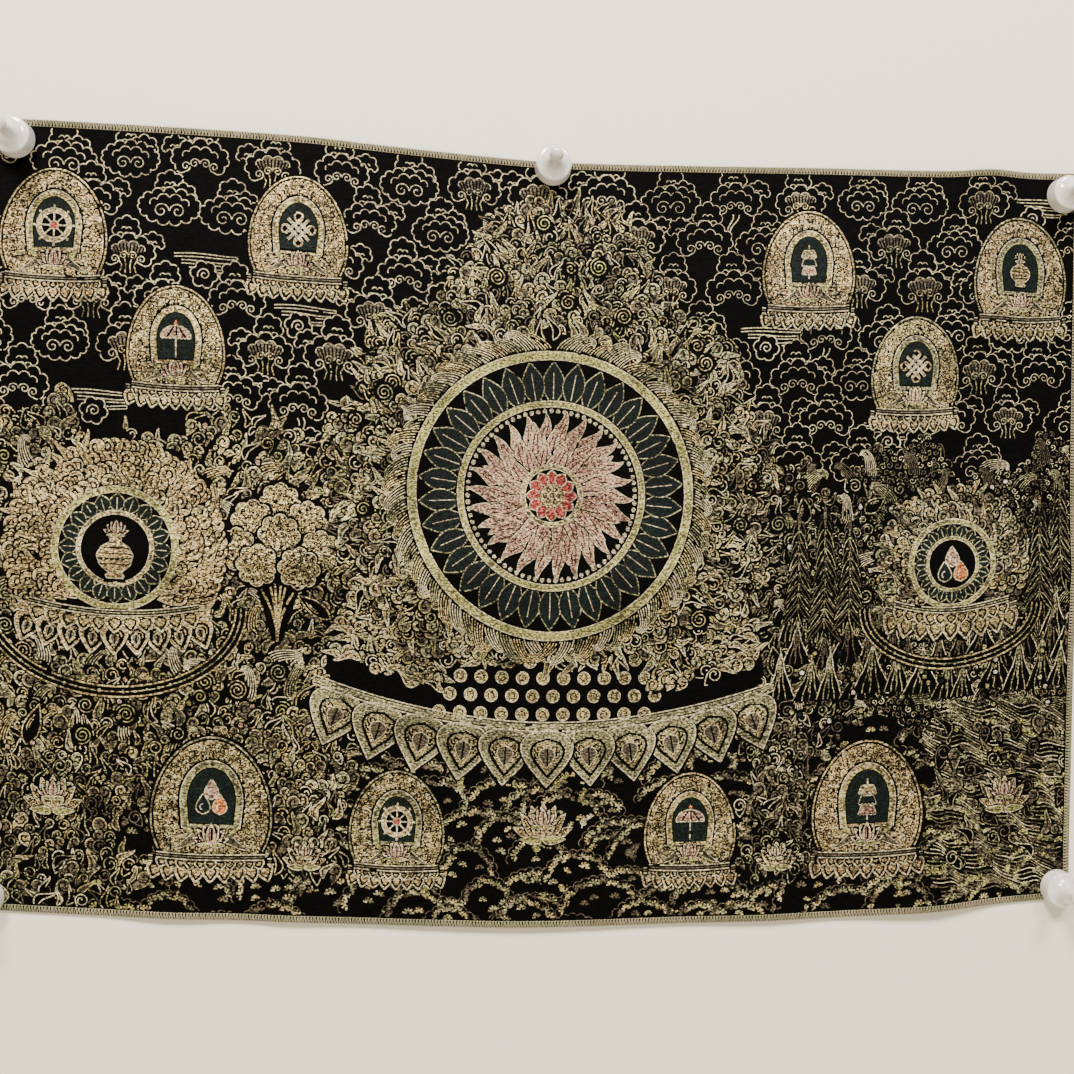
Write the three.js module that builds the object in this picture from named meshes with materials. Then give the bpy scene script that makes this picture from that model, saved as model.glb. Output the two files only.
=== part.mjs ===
// A woven brocade wall hanging, wider than it is tall, held flat to a steel board by five white magnet pins.
// Units are millimetres. X runs along the cloth, Z is up, and the board is the plane y = 0 behind the cloth,
// so everything stands out of it towards -Y. The origin is on the board, behind the top middle pin.
import * as THREE from "three";
import { mergeVertices } from "three/addons/utils/BufferGeometryUtils.js";

// The cloth as it was woven and cut.
const CLOTH_WIDTH = 884;
const CLOTH_HEIGHT = 608;
const CLOTH_THICK = 1.2;

// The overlocked border: the edge thread makes a band that stands a little higher than the weave.
const BAND_WIDTH = 4.6;
const BAND_RISE = 0.5;
const BAND_SHOULDER = 1.4;
const EDGE_ROUNDING = 0.45;

// Where the pins press, measured from the middle of the cloth's own rectangle.
const PINS = [
  { name: "pin_top_left", x: -420, z: 288 },
  { name: "pin_top_middle", x: -4, z: 287 },
  { name: "pin_top_right", x: 427, z: 284.5 },
  { name: "pin_bottom_left", x: -431, z: -295 },
  { name: "pin_bottom_right", x: 431.5, z: -295 },
];
const ORIGIN_PIN = PINS[1];

// Under a pin the cloth lies flat on the board out to FLAT_REACH, and is free of it at FREE_REACH.
const FLAT_REACH = 34;
const FREE_REACH = 110;
const SEAT_GAP = 0.3;

// How far the top and bottom edges hang away from the straight rectangle, at stations along the cloth.
const EDGE_SAG = [
  { x: -442, top: 0, bottom: 0 },
  { x: -345, top: -0.2, bottom: -6.1 },
  { x: -205, top: -2.3, bottom: -12.2 },
  { x: -150, top: -5.7, bottom: -14.5 },
  { x: -103, top: -8.5, bottom: -16.2 },
  { x: -8, top: -12.6, bottom: -18.6 },
  { x: 117, top: -9.9, bottom: -17.0 },
  { x: 212, top: -6.8, bottom: -14.9 },
  { x: 300, top: -4.6, bottom: -10.8 },
  { x: 335, top: -3.4, bottom: -8.2 },
  { x: 367, top: -0.4, bottom: -5.6 },
  { x: 400, top: -1.3, bottom: -3.0 },
  { x: 442, top: 0, bottom: 0 },
];

// The storage crease across the middle: a sharp low ridge that fades above and below.
const CREASE = { z: -28, height: 5.2, fadeUp: 42, fadeDown: 60 };

// Soft folds and swells. "along" and "across" are half lengths, "turn" is the fold's slope in degrees.
const FOLDS = [
  { x: -225, z: 190, along: 150, across: 90, turn: -8, height: 3.2 },
  { x: 215, z: 185, along: 140, across: 90, turn: 9, height: 4.0 },
  { x: 367, z: 304, along: 34, across: 36, turn: 0, height: 4.2 },
  { x: -120, z: 130, along: 150, across: 26, turn: 50, height: 1.8 },
  { x: 112, z: 128, along: 150, across: 24, turn: -52, height: 1.7 },
  { x: -318, z: 176, along: 120, across: 24, turn: -42, height: 1.8 },
  { x: 322, z: 160, along: 120, across: 26, turn: 46, height: 2.0 },
  { x: -40, z: -170, along: 330, across: 90, turn: 0, height: 2.6 },
  { x: -290, z: -304, along: 36, across: 62, turn: 0, height: 2.8 },
  { x: -200, z: -304, along: 34, across: 48, turn: 0, height: 1.9 },
  { x: -30, z: -304, along: 120, across: 60, turn: 0, height: 3.0 },
  { x: 180, z: -304, along: 46, across: 55, turn: 0, height: 2.4 },
  { x: 330, z: -304, along: 66, across: 80, turn: 0, height: 5.6 },
];

// The pins: a tapered skirt, a dished cone and a ball to grip. "out" is the distance from the cloth.
const PIN_SEGMENTS = 24;
const PIN_SKIRT = [
  { radius: 15.0, out: 0 },
  { radius: 15.0, out: 0.9 },
  { radius: 14.1, out: 9.4 },
  { radius: 13.5, out: 10.4 },
  { radius: 12.6, out: 10.7 },
];
const PIN_CONE = { radius: 12.6, out: 10.7, neckRadius: 3.7, neckOut: 24.4, hollow: 1.9, steps: 6 };
const PIN_BALL = { radius: 5.8, out: 29.2, steps: 7 };

const WEAVE_COLOUR = 0x1b1915;
const PLASTIC_COLOUR = 0xece9e2;

const smooth = (t) => {
  const c = Math.min(1, Math.max(0, t));
  return c * c * (3 - 2 * c);
};

// A smooth curve through one column of the sag table.
function sagAt(x, column) {
  const rows = EDGE_SAG;
  let i = 0;
  while (i < rows.length - 2 && x > rows[i + 1].x) i++;
  const slope = (k) => {
    const a = rows[Math.max(0, k - 1)];
    const b = rows[Math.min(rows.length - 1, k + 1)];
    return (b[column] - a[column]) / (b.x - a.x);
  };
  const [from, to] = [rows[i], rows[i + 1]];
  const step = to.x - from.x;
  const t = (x - from.x) / step;
  const rise = t * t * (3 - 2 * t);
  return (
    from[column] * (1 - rise) +
    to[column] * rise +
    slope(i) * step * t * (1 - t) * (1 - t) -
    slope(i + 1) * step * t * t * (1 - t)
  );
}

// The height that a point of the flat cloth has once it hangs.
function hungHeight(x, z) {
  const up = z / CLOTH_HEIGHT + 0.5;
  return z + sagAt(x, "bottom") * (1 - up) + sagAt(x, "top") * up;
}

// 0 where a pin presses the cloth to the board, 1 where the cloth is free of every pin.
function freedom(x, hung) {
  return PINS.reduce((least, pin) => {
    const away = Math.hypot(x - pin.x, hung - pin.z);
    return Math.min(least, smooth((away - FLAT_REACH) / (FREE_REACH - FLAT_REACH)));
  }, 1);
}

// How far the back of the cloth stands off the board.
function standOff(x, z) {
  const fromCrease = z - CREASE.z;
  const fade = fromCrease > 0 ? CREASE.fadeUp : CREASE.fadeDown;
  let off = CREASE.height * Math.exp(-Math.abs(fromCrease) / fade);
  for (const fold of FOLDS) {
    const turn = THREE.MathUtils.degToRad(fold.turn);
    const dx = x - fold.x;
    const dz = z - fold.z;
    const along = (dx * Math.cos(turn) + dz * Math.sin(turn)) / fold.along;
    const across = (dz * Math.cos(turn) - dx * Math.sin(turn)) / fold.across;
    off += fold.height * Math.exp(-along * along - across * across);
  }
  return off * freedom(x, hungHeight(x, z));
}

// Evenly spaced stations from low to high, both included.
function evenly(low, high, count) {
  return Array.from({ length: count + 1 }, (_, i) => low + ((high - low) * i) / count);
}

// Grid lines across one direction of the cloth: the edge, the band's two borders, then even steps that meet at "middle".
function gridLines(half, middle, countBelow, countAbove) {
  const shoulder = half - BAND_WIDTH - BAND_SHOULDER;
  const band = half - BAND_WIDTH;
  return [
    -half,
    -band,
    ...evenly(-shoulder, middle, countBelow),
    ...evenly(middle, shoulder, countAbove).slice(1),
    band,
    half,
  ];
}

// The sheet: a front and a back face over the same grid, joined round the rim.
function clothGeometry() {
  const halfWidth = CLOTH_WIDTH / 2;
  const halfHeight = CLOTH_HEIGHT / 2;
  const columns = gridLines(halfWidth, ORIGIN_PIN.x, 20, 20);
  const rows = gridLines(halfHeight, CREASE.z, 13, 15);
  const positions = [];
  const index = [];
  const wide = columns.length;

  const addFace = (isFront) => {
    for (const z of rows)
      for (const x of columns) {
        const inset = Math.min(halfWidth - Math.abs(x), halfHeight - Math.abs(z));
        const onEdge = inset < 1e-6;
        const inBand = inset < BAND_WIDTH + 1e-6;
        const rise = inBand ? BAND_RISE : 0;
        const thick = onEdge ? CLOTH_THICK + BAND_RISE - EDGE_ROUNDING : CLOTH_THICK + rise;
        const out = standOff(x, z) + (isFront ? thick : 0);
        positions.push(x - ORIGIN_PIN.x, -out, hungHeight(x, z) - ORIGIN_PIN.z);
      }
  };
  addFace(true);
  addFace(false);

  const perFace = wide * rows.length;
  const quad = (a, b, c, d) => index.push(a, b, c, a, c, d);
  for (let r = 0; r < rows.length - 1; r++)
    for (let c = 0; c < wide - 1; c++) {
      const low = r * wide + c;
      const high = low + wide;
      quad(low, low + 1, high + 1, high);
      quad(perFace + low, perFace + high, perFace + high + 1, perFace + low + 1);
    }
  const wall = (a, b) => quad(b, a, perFace + a, perFace + b);
  const last = (rows.length - 1) * wide;
  for (let c = 0; c < wide - 1; c++) {
    wall(c, c + 1);
    wall(last + c + 1, last + c);
  }
  for (let r = 0; r < rows.length - 1; r++) {
    wall((r + 1) * wide, r * wide);
    wall(r * wide + wide - 1, (r + 1) * wide + wide - 1);
  }
  const geometry = new THREE.BufferGeometry();
  geometry.setAttribute("position", new THREE.Float32BufferAttribute(positions, 3));
  geometry.setIndex(index);
  return geometry;
}

// One pin's outline from the middle of its foot to the top of its ball.
function pinProfile() {
  const points = [new THREE.Vector2(0, 0)];
  for (const { radius, out } of PIN_SKIRT) points.push(new THREE.Vector2(radius, out));
  for (let i = 1; i <= PIN_CONE.steps; i++) {
    const t = i / PIN_CONE.steps;
    const inward = t ** (1 / PIN_CONE.hollow);
    const radius = PIN_CONE.radius + (PIN_CONE.neckRadius - PIN_CONE.radius) * inward;
    points.push(new THREE.Vector2(radius, PIN_CONE.out + (PIN_CONE.neckOut - PIN_CONE.out) * t ** PIN_CONE.hollow));
  }
  const neckAngle = Math.asin(PIN_CONE.neckRadius / PIN_BALL.radius);
  for (let i = 1; i <= PIN_BALL.steps; i++) {
    const angle = Math.PI - neckAngle - ((Math.PI - neckAngle) * i) / PIN_BALL.steps;
    const radius = i === PIN_BALL.steps ? 0 : PIN_BALL.radius * Math.sin(angle);
    points.push(new THREE.Vector2(radius, PIN_BALL.out + PIN_BALL.radius * Math.cos(angle)));
  }
  return points;
}

function pinMesh(pin, material) {
  const turned = new THREE.LatheGeometry(pinProfile(), PIN_SEGMENTS);
  turned.deleteAttribute("normal");
  turned.deleteAttribute("uv");
  const mesh = new THREE.Mesh(mergeVertices(turned, 1e-4), material);
  mesh.name = pin.name;
  mesh.rotation.x = Math.PI;
  mesh.position.set(pin.x - ORIGIN_PIN.x, -(CLOTH_THICK + BAND_RISE + SEAT_GAP), pin.z - ORIGIN_PIN.z);
  return mesh;
}

const weave = new THREE.MeshStandardMaterial({ color: WEAVE_COLOUR, roughness: 0.8, metalness: 0 });
const plastic = new THREE.MeshStandardMaterial({ color: PLASTIC_COLOUR, roughness: 0.25, metalness: 0 });

const hanging = new THREE.Group();
const cloth = new THREE.Mesh(clothGeometry(), weave);
cloth.name = "cloth";
hanging.add(cloth);
for (const pin of PINS) hanging.add(pinMesh(pin, plastic));

export default hanging;
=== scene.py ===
"""A figured brocade wall panel, held to a board by five magnet pins.

The cloth lies in the frame's X and Z, and faces -Y. Sizes are in mm, and in metres in a finished mesh.
The design is drawn on a point paper, as a weaver does, and each of its threads is then laid on the cloth.
"""

import math

import bmesh
import bpy
import numpy as np
from mathutils import Matrix, Vector


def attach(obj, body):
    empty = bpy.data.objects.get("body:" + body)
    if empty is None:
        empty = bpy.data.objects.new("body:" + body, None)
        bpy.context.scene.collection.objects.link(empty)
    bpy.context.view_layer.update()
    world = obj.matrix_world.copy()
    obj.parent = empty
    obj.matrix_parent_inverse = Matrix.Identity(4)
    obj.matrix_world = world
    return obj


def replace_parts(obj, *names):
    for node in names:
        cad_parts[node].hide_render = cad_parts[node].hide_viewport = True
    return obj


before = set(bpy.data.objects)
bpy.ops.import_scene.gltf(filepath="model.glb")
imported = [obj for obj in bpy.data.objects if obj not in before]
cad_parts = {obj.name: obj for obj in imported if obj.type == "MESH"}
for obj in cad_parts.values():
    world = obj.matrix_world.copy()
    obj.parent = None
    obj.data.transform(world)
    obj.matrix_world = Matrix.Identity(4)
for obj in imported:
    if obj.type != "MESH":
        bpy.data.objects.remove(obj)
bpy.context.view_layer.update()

MM = 0.001

# The photograph's camera: its place in the frame in mm, and its turns in degrees.
CAMERA = {"place": (-73.0, -802.0, -300.6), "yaw": 4.71, "pitch": 0.22, "roll": 1.11, "focal_px": 1000.0}
PHOTO_SIDE_PX = 1074
SENSOR_MM = 36.0
NEAR_M, FAR_M = 0.02, 20.0


def photo_camera():
    """A camera where the photographer's was."""
    yaw, pitch, roll = (math.radians(CAMERA[name]) for name in ("yaw", "pitch", "roll"))
    ahead = Vector((math.sin(yaw) * math.cos(pitch), math.cos(yaw) * math.cos(pitch), math.sin(pitch)))
    level = Vector((math.cos(yaw), -math.sin(yaw), 0.0))
    upright = level.cross(ahead)
    right = level * math.cos(roll) + upright * math.sin(roll)
    up = upright * math.cos(roll) - level * math.sin(roll)
    data = bpy.data.cameras.new("photo_camera")
    data.sensor_width = SENSOR_MM
    data.lens = CAMERA["focal_px"] / PHOTO_SIDE_PX * SENSOR_MM
    data.clip_start, data.clip_end = NEAR_M, FAR_M
    camera = bpy.data.objects.new("photo_camera", data)
    turn = Matrix((right, up, -ahead)).transposed().to_4x4()
    camera.matrix_world = Matrix.Translation(Vector(CAMERA["place"]) * MM) @ turn
    bpy.context.scene.collection.objects.link(camera)
    bpy.context.scene.camera = camera


photo_camera()

# The cloth as it was woven, and as it hangs: the same sizes as in the CAD model.
WIDE, HIGH = 884.0, 608.0
THICK = 1.2
BAND_WIDE, BAND_RISE = 4.6, 0.5
SEAT_GAP = 0.3
PINS = {
    "pin_top_left": (-420.0, 288.0),
    "pin_top_middle": (-4.0, 287.0),
    "pin_top_right": (427.0, 284.5),
    "pin_bottom_left": (-431.0, -295.0),
    "pin_bottom_right": (431.5, -295.0),
}
ORIGIN = PINS["pin_top_middle"]
# The cloth lies flat this near a pin, and hangs free this far from it.
FLAT_REACH, FREE_REACH = 34.0, 110.0

# How far the two long edges hang off the straight: station along the cloth, top edge, bottom edge.
TOP_EDGE, BOTTOM_EDGE = 1, 2
SAG = np.array([
    (-442, 0, 0), (-345, -0.2, -6.1), (-205, -2.3, -12.2), (-150, -5.7, -14.5), (-103, -8.5, -16.2),
    (-8, -12.6, -18.6), (117, -9.9, -17.0), (212, -6.8, -14.9), (300, -4.6, -10.8), (335, -3.4, -8.2),
    (367, -0.4, -5.6), (400, -1.3, -3.0), (442, 0, 0),
], float)
CREASE = {"v": -28.0, "height": 5.2, "fade_up": 42.0, "fade_down": 60.0}

# Soft folds: middle u and v, half length along and across, slope in degrees, height.
FOLDS = (
    (-225, 190, 150, 90, -8, 3.2), (215, 185, 140, 90, 9, 4.0), (367, 304, 34, 36, 0, 4.2),
    (-120, 130, 150, 26, 50, 1.8), (112, 128, 150, 24, -52, 1.7), (-318, 176, 120, 24, -42, 1.8),
    (322, 160, 120, 26, 46, 2.0), (-40, -170, 330, 90, 0, 2.6), (-290, -304, 36, 62, 0, 2.8),
    (-200, -304, 34, 48, 0, 1.9), (-30, -304, 120, 60, 0, 3.0), (180, -304, 46, 55, 0, 2.4),
    (330, -304, 66, 80, 0, 5.6),
)


def sag(u, column):
    """A smooth curve through one column of the sag table."""
    stations, drops = SAG[:, 0], SAG[:, column]
    left = np.maximum(np.arange(len(stations)) - 1, 0)
    right = np.minimum(np.arange(len(stations)) + 1, len(stations) - 1)
    slopes = (drops[right] - drops[left]) / (stations[right] - stations[left])
    i = np.clip(np.searchsorted(stations, u, side="left") - 1, 0, len(stations) - 2)
    step = stations[i + 1] - stations[i]
    t = (u - stations[i]) / step
    rise = t * t * (3 - 2 * t)
    lead_in = slopes[i] * step * t * (1 - t) ** 2
    lead_out = slopes[i + 1] * step * t * t * (1 - t)
    return drops[i] * (1 - rise) + drops[i + 1] * rise + lead_in - lead_out


def hung(u, v):
    """The height that a point of the flat cloth has once it hangs."""
    up = v / HIGH + 0.5
    return v + sag(u, BOTTOM_EDGE) * (1 - up) + sag(u, TOP_EDGE) * up


def stand_off(u, v):
    """How far the back of the cloth stands off the board."""
    from_crease = v - CREASE["v"]
    fade = np.where(from_crease > 0, CREASE["fade_up"], CREASE["fade_down"])
    off = CREASE["height"] * np.exp(-np.abs(from_crease) / fade)
    for mid_u, mid_v, along, across, turn, height in FOLDS:
        c, s = math.cos(math.radians(turn)), math.sin(math.radians(turn))
        a = ((u - mid_u) * c + (v - mid_v) * s) / along
        b = ((v - mid_v) * c - (u - mid_u) * s) / across
        off = off + height * np.exp(-a * a - b * b)
    free = np.ones_like(off)
    high = hung(u, v)
    for pin_u, pin_v in PINS.values():
        t = np.clip((np.hypot(u - pin_u, high - pin_v) - FLAT_REACH) / (FREE_REACH - FLAT_REACH), 0, 1)
        free = np.minimum(free, t * t * (3 - 2 * t))
    return off * free


def on_cloth(u, v, proud):
    """Points of the frame, in metres, that stand a height in mm over the cloth's front face."""
    out = stand_off(u, v) + THICK + proud
    return np.stack([u - ORIGIN[0], -out, hung(u, v) - ORIGIN[1]], axis=-1) * MM


def mesh_points(mesh):
    """The mesh's points as rows of x, y and z."""
    flat = np.zeros(len(mesh.vertices) * 3, np.float32)
    mesh.vertices.foreach_get("co", flat)
    return flat.reshape(-1, 3).astype(float)


def set_mesh_points(mesh, points):
    mesh.vertices.foreach_set("co", points.astype(np.float32).ravel())
    mesh.update()


def lay_on_cloth(mesh):
    """Lays a mesh drawn flat, in mm, on the hung cloth: its heights become heights over the front face."""
    flat = mesh_points(mesh)
    set_mesh_points(mesh, on_cloth(flat[:, 0], flat[:, 1], flat[:, 2]))


def new_piece(name, mesh, material):
    """A finished piece of the object, which rides on the frame's one body."""
    mesh.name = name
    mesh.materials.clear()
    mesh.materials.append(material)
    piece = bpy.data.objects.new(name, mesh)
    bpy.context.scene.collection.objects.link(piece)
    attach(piece, "root")
    return piece


# Finishes.
def srgb(code):
    """A hex colour as the linear values that a shader takes."""
    parts = [int(code[k : k + 2], 16) / 255 for k in (1, 3, 5)]
    return (*[p / 12.92 if p <= 0.04045 else ((p + 0.055) / 1.055) ** 2.4 for p in parts], 1.0)


def feed(tree, node, links):
    """Links a node's sockets, each to another node's first output or to a socket of its own."""
    for name, source in links.items():
        tree.links.new(getattr(source, "outputs", [source])[0], node.inputs[name])


def add(tree, kind, values=None, links=None, stops=(), **settings):
    """Adds a node with its settings, its values, what feeds it and, for a ramp, its (place, colour) stops."""
    made = tree.nodes.new(kind)
    for name, value in settings.items():
        setattr(made, name, value)
    for name, value in (values or {}).items():
        made.inputs[name].default_value = value
    feed(tree, made, links or {})
    if stops:
        colours = made.color_ramp.elements
        while len(colours) < len(stops):
            colours.new(0.5)
        for colour, (place, code) in zip(colours, stops):
            colour.position, colour.color = place, srgb(code)
    return made


SOCKETS = {
    "specular": "Specular IOR Level", "metallic": "Metallic", "roughness": "Roughness", "ior": "IOR",
    "sheen": "Sheen Weight", "coat": "Coat Weight", "coat_roughness": "Coat Roughness", "base": "Base Color",
}
# A noise seldom leaves this span, so a gloss or a shadow is spread over it.
NOISE_SPAN = {"From Min": 0.3, "From Max": 0.7}


def new_material(name, **values):
    """A material with its shader, whose even values sit on the shader's own sockets."""
    made = bpy.data.materials.new(name)
    made.use_nodes = True
    tree = made.node_tree
    shader = tree.nodes["Principled BSDF"]
    for socket, value in values.items():
        shader.inputs[SOCKETS[socket]].default_value = value
    return made, tree, shader


def scaled(tree, *sizes_mm):
    """Object coordinates in units of a pattern's own size along X, Y and Z, in mm."""
    where = add(tree, "ShaderNodeTexCoord").outputs["Object"]
    scale = [1 / (size * MM) for size in sizes_mm]
    return add(tree, "ShaderNodeMapping", {"Scale": scale}, {"Vector": where})


def weft_finish(name, deep, body, bright, metallic):
    """Flat metallic film yarn, woven in: it glints along its length, with dark specks where it is bound in.

    The specks are drawn about twice as coarse as the real 0.5 mm ones, so that they show.
    """
    made, tree, shader = new_material(name, metallic=metallic, specular=0.3 if metallic else 0.12)
    rough = 0.46 if metallic else 0.6
    noise = {"Scale": 1.0, "Detail": 2.0}
    fine, broad = scaled(tree, 2.2, 2.2, 1.3), scaled(tree, 38.0, 38.0, 26.0)
    specks = add(tree, "ShaderNodeTexNoise", {**noise, "Roughness": 0.6}, {"Vector": fine})
    drift = add(tree, "ShaderNodeTexNoise", noise, {"Vector": broad})
    tone = add(tree, "ShaderNodeMath", {1: 0.3}, {0: drift}, operation="MULTIPLY")
    tone = add(tree, "ShaderNodeMath", {1: -0.15}, {0: tone}, operation="ADD")
    tone = add(tree, "ShaderNodeMath", links={0: tone, 1: specks}, operation="ADD")
    stops = ((0.41, deep), (0.54, body), (0.69, bright))
    colour = add(tree, "ShaderNodeValToRGB", links={"Fac": tone}, stops=stops)
    dull = {**NOISE_SPAN, "To Min": rough + 0.12, "To Max": rough - 0.1}
    gloss = add(tree, "ShaderNodeMapRange", dull, {"Value": specks})
    bump = add(tree, "ShaderNodeBump", {"Strength": 0.5, "Distance": 0.0002}, {"Height": specks})
    feed(tree, shader, {"Base Color": colour, "Roughness": gloss, "Normal": bump})
    return made


def satin_finish():
    """Black polyester satin: long warp floats give a soft, low gloss and a faint rib across the cloth."""
    made, tree, shader = new_material("black_satin", specular=0.035)
    noise = {"Scale": 1.0, "Detail": 3.0}
    ribs = add(
        tree, "ShaderNodeTexWave", {"Scale": 1.0, "Distortion": 0.6, "Detail": 1.0},
        {"Vector": scaled(tree, 7.0, 7.0, 1.9)}, wave_type="BANDS", bands_direction="Z",
    )
    slub = add(tree, "ShaderNodeTexNoise", noise, {"Vector": scaled(tree, 4.5, 4.5, 0.9)})
    rib = add(tree, "ShaderNodeMath", {1: 0.35}, {0: ribs.outputs["Fac"]}, operation="MULTIPLY")
    rib = add(tree, "ShaderNodeMath", links={0: rib, 1: slub}, operation="ADD")
    stops = ((0.35, "#010101"), (0.72, "#020202"), (0.95, "#0b0907"))
    front = add(tree, "ShaderNodeValToRGB", links={"Fac": rib}, stops=stops)
    # the reverse: yarns that don't show in front lie here as loose floats, so the design shows in negative
    long = scaled(tree, 15.0, 15.0, 1.7)
    floats = add(tree, "ShaderNodeTexNoise", {**noise, "Roughness": 0.7}, {"Vector": long})
    in_front = add(tree, "ShaderNodeAttribute", attribute_name="yarn_in_front").outputs["Fac"]
    loose = add(tree, "ShaderNodeMath", {1: -0.22, 2: 0.1}, {0: in_front}, operation="MULTIPLY_ADD")
    loose = add(tree, "ShaderNodeMath", links={0: loose, 1: floats}, operation="ADD")
    stops = ((0.36, "#0d0b09"), (0.47, "#3a3223"), (0.58, "#7a6e4c"), (0.7, "#b5a87f"))
    back = add(tree, "ShaderNodeValToRGB", links={"Fac": loose}, stops=stops)
    facing = add(tree, "ShaderNodeNewGeometry").outputs["True Normal"]
    facing = add(tree, "ShaderNodeSeparateXYZ", links={0: facing}).outputs["Y"]
    behind = add(tree, "ShaderNodeMath", {1: 0.0}, {0: facing}, operation="GREATER_THAN")
    sides = add(tree, "ShaderNodeMix", links={0: behind, 6: front, 7: back}, data_type="RGBA")
    gloss = add(tree, "ShaderNodeMapRange", {"To Min": 0.8, "To Max": 0.62}, {"Value": slub})
    bump = add(tree, "ShaderNodeBump", {"Strength": 0.4, "Distance": 0.0002}, {"Height": rib})
    feed(tree, shader, {"Base Color": sides.outputs[2], "Roughness": gloss, "Normal": bump})
    return made


def overlock_finish():
    """Spun polyester overlock thread: matt, slightly hairy, its colour drifting along the edge and painted
    with shade between its plies.
    """
    made, tree, shader = new_material("overlock_thread", specular=0.25, roughness=0.72, sheen=0.15)
    broad, fine = scaled(tree, 70.0, 70.0, 70.0), scaled(tree, 0.7, 0.7, 0.7)
    drift = add(tree, "ShaderNodeTexNoise", {"Scale": 1.0, "Detail": 1.0}, {"Vector": broad})
    stops = ((0.36, "#94926a"), (0.46, "#a99e7b"), (0.56, "#b4a887"), (0.66, "#a5a273"))
    colour = add(tree, "ShaderNodeValToRGB", links={"Fac": drift}, stops=stops)
    ply = add(tree, "ShaderNodeTexNoise", {"Scale": 1.0, "Detail": 2.0}, {"Vector": fine})
    # painted shade: a fine noise darkens the thread's colour to as little as 0.4 where plies and loops would
    # shade each other
    shadow = add(tree, "ShaderNodeMapRange", {**NOISE_SPAN, "To Min": 0.4, "To Max": 1.16}, {"Value": ply})
    mixed = add(tree, "ShaderNodeVectorMath", links={0: colour, 1: shadow}, operation="MULTIPLY")
    bump = add(tree, "ShaderNodeBump", {"Strength": 0.6, "Distance": 0.00015}, {"Height": ply})
    feed(tree, shader, {"Base Color": mixed, "Normal": bump})
    return made


def pin_finish():
    """Moulded white ABS: glossy, a little milky, with a faint flow mark and finger haze in its gloss."""
    made, tree, shader = new_material("white_abs", specular=0.6, ior=1.53, coat=1.0, coat_roughness=0.04)
    broad = scaled(tree, 9.0, 9.0, 9.0)
    haze = add(tree, "ShaderNodeTexNoise", {"Scale": 1.0, "Detail": 3.0}, {"Vector": broad})
    stops = ((0.3, "#d9d5cc"), (0.7, "#e3dfd6"))
    colour = add(tree, "ShaderNodeValToRGB", links={"Fac": haze}, stops=stops)
    gloss = add(tree, "ShaderNodeMapRange", {**NOISE_SPAN, "To Min": 0.16, "To Max": 0.27}, {"Value": haze})
    bump = add(tree, "ShaderNodeBump", {"Strength": 0.08, "Distance": 0.0003}, {"Height": haze})
    feed(tree, shader, {"Base Color": colour, "Roughness": gloss, "Normal": bump})
    return made


# The point paper: one square for each 0.5 mm of the flat cloth, with the layer that owns it and its ink.
POINT = 0.5
COLS, ROWS = int(WIDE / POINT), int(HIGH / POINT)
owner = np.zeros((ROWS, COLS), np.int32)
inks = np.zeros((ROWS, COLS), np.uint8)
lines = []
state = {"layer": 0}
rng = np.random.default_rng(21)

INK_NAMES = "ground gold olive copper pink teal cream green white red orange bronze".split()
INK = {name: number for number, name in enumerate(INK_NAMES)}


def pick(choices):
    return choices[rng.integers(len(choices))]


def either_way():
    return rng.choice([-1, 1])


def cells(points, size, shape, shift=(0, 0)):
    """Rows and columns, in a paper of square cells, of points of the cloth, or of the cells beside them."""
    row = ((points.imag + HIGH / 2) / size).astype(int) + shift[0]
    column = ((points.real + WIDE / 2) / size).astype(int) + shift[1]
    return np.clip(row, 0, shape[0] - 1), np.clip(column, 0, shape[1] - 1)


def runs(keep):
    """The stretches in which a test holds along a row, as pairs of a start and a stop."""
    steps = np.diff(np.concatenate([[0], keep, [0]]))
    return zip(np.flatnonzero(steps == 1), np.flatnonzero(steps == -1))


def layer():
    """Starts a new layer of the design: what it covers hides the layers before it."""
    state["layer"] += 1


def shade(outline, ink):
    """Gives the inside of a closed outline to the present layer, in one ink."""
    u = (outline.real + WIDE / 2) / POINT
    v = (outline.imag + HIGH / 2) / POINT
    low, high = max(0, math.ceil(v.min() - 0.5)), min(ROWS - 1, math.floor(v.max() - 0.5))
    if high < low:
        return
    middle = np.arange(low, high + 1)[:, None] + 0.5
    next_u, next_v = np.roll(u, -1), np.roll(v, -1)
    crosses = (v <= middle) != (next_v <= middle)
    rise = np.where(next_v == v, 1.0, next_v - v)
    meets = np.sort(np.where(crosses, u + (middle - v) * (next_u - u) / rise, np.inf), axis=1)
    for row, ends in enumerate(meets, low):
        count = int(np.isfinite(ends).sum())
        for k in range(0, count - 1, 2):
            a, b = max(0, round(ends[k])), max(0, min(COLS, round(ends[k + 1])))
            owner[row, a:b] = state["layer"]
            inks[row, a:b] = INK[ink]


def even(points, step):
    """The same path with its points a step apart."""
    gaps = np.abs(np.diff(points))
    along = np.concatenate([[0.0], np.cumsum(gaps)])
    if along[-1] < step:
        return points[[0, -1]]
    at = np.linspace(0, along[-1], int(round(along[-1] / step)) + 1)
    return np.interp(at, along, points.real) + 1j * np.interp(at, along, points.imag)


def clear(outline):
    """Starts a new layer that leaves the ground open inside an outline."""
    layer()
    shade(outline, "ground")


def cut(path, wide):
    """Leaves the ground open along a path that crosses a shaded part."""
    path = even(path, POINT * 0.8)
    reach = max(1, int(round(wide / POINT)))
    for du in range(reach):
        for dv in range(reach):
            row, column = cells(path, POINT, inks.shape, (dv, du))
            mine = owner[row, column] == state["layer"]
            inks[row[mine], column[mine]] = INK["ground"]


def draw(path, ink, wide=1.1, step=1.5):
    """Lays a thread line along a path, on the present layer."""
    lines.append((ink, wide, even(path, step), state["layer"]))


# Simple figures, as complex numbers in mm.
def polar(degrees):
    return np.exp(1j * np.radians(degrees))


def arc(centre, radius, start, stop, count):
    return centre + radius * polar(np.linspace(start, stop, count))


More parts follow.
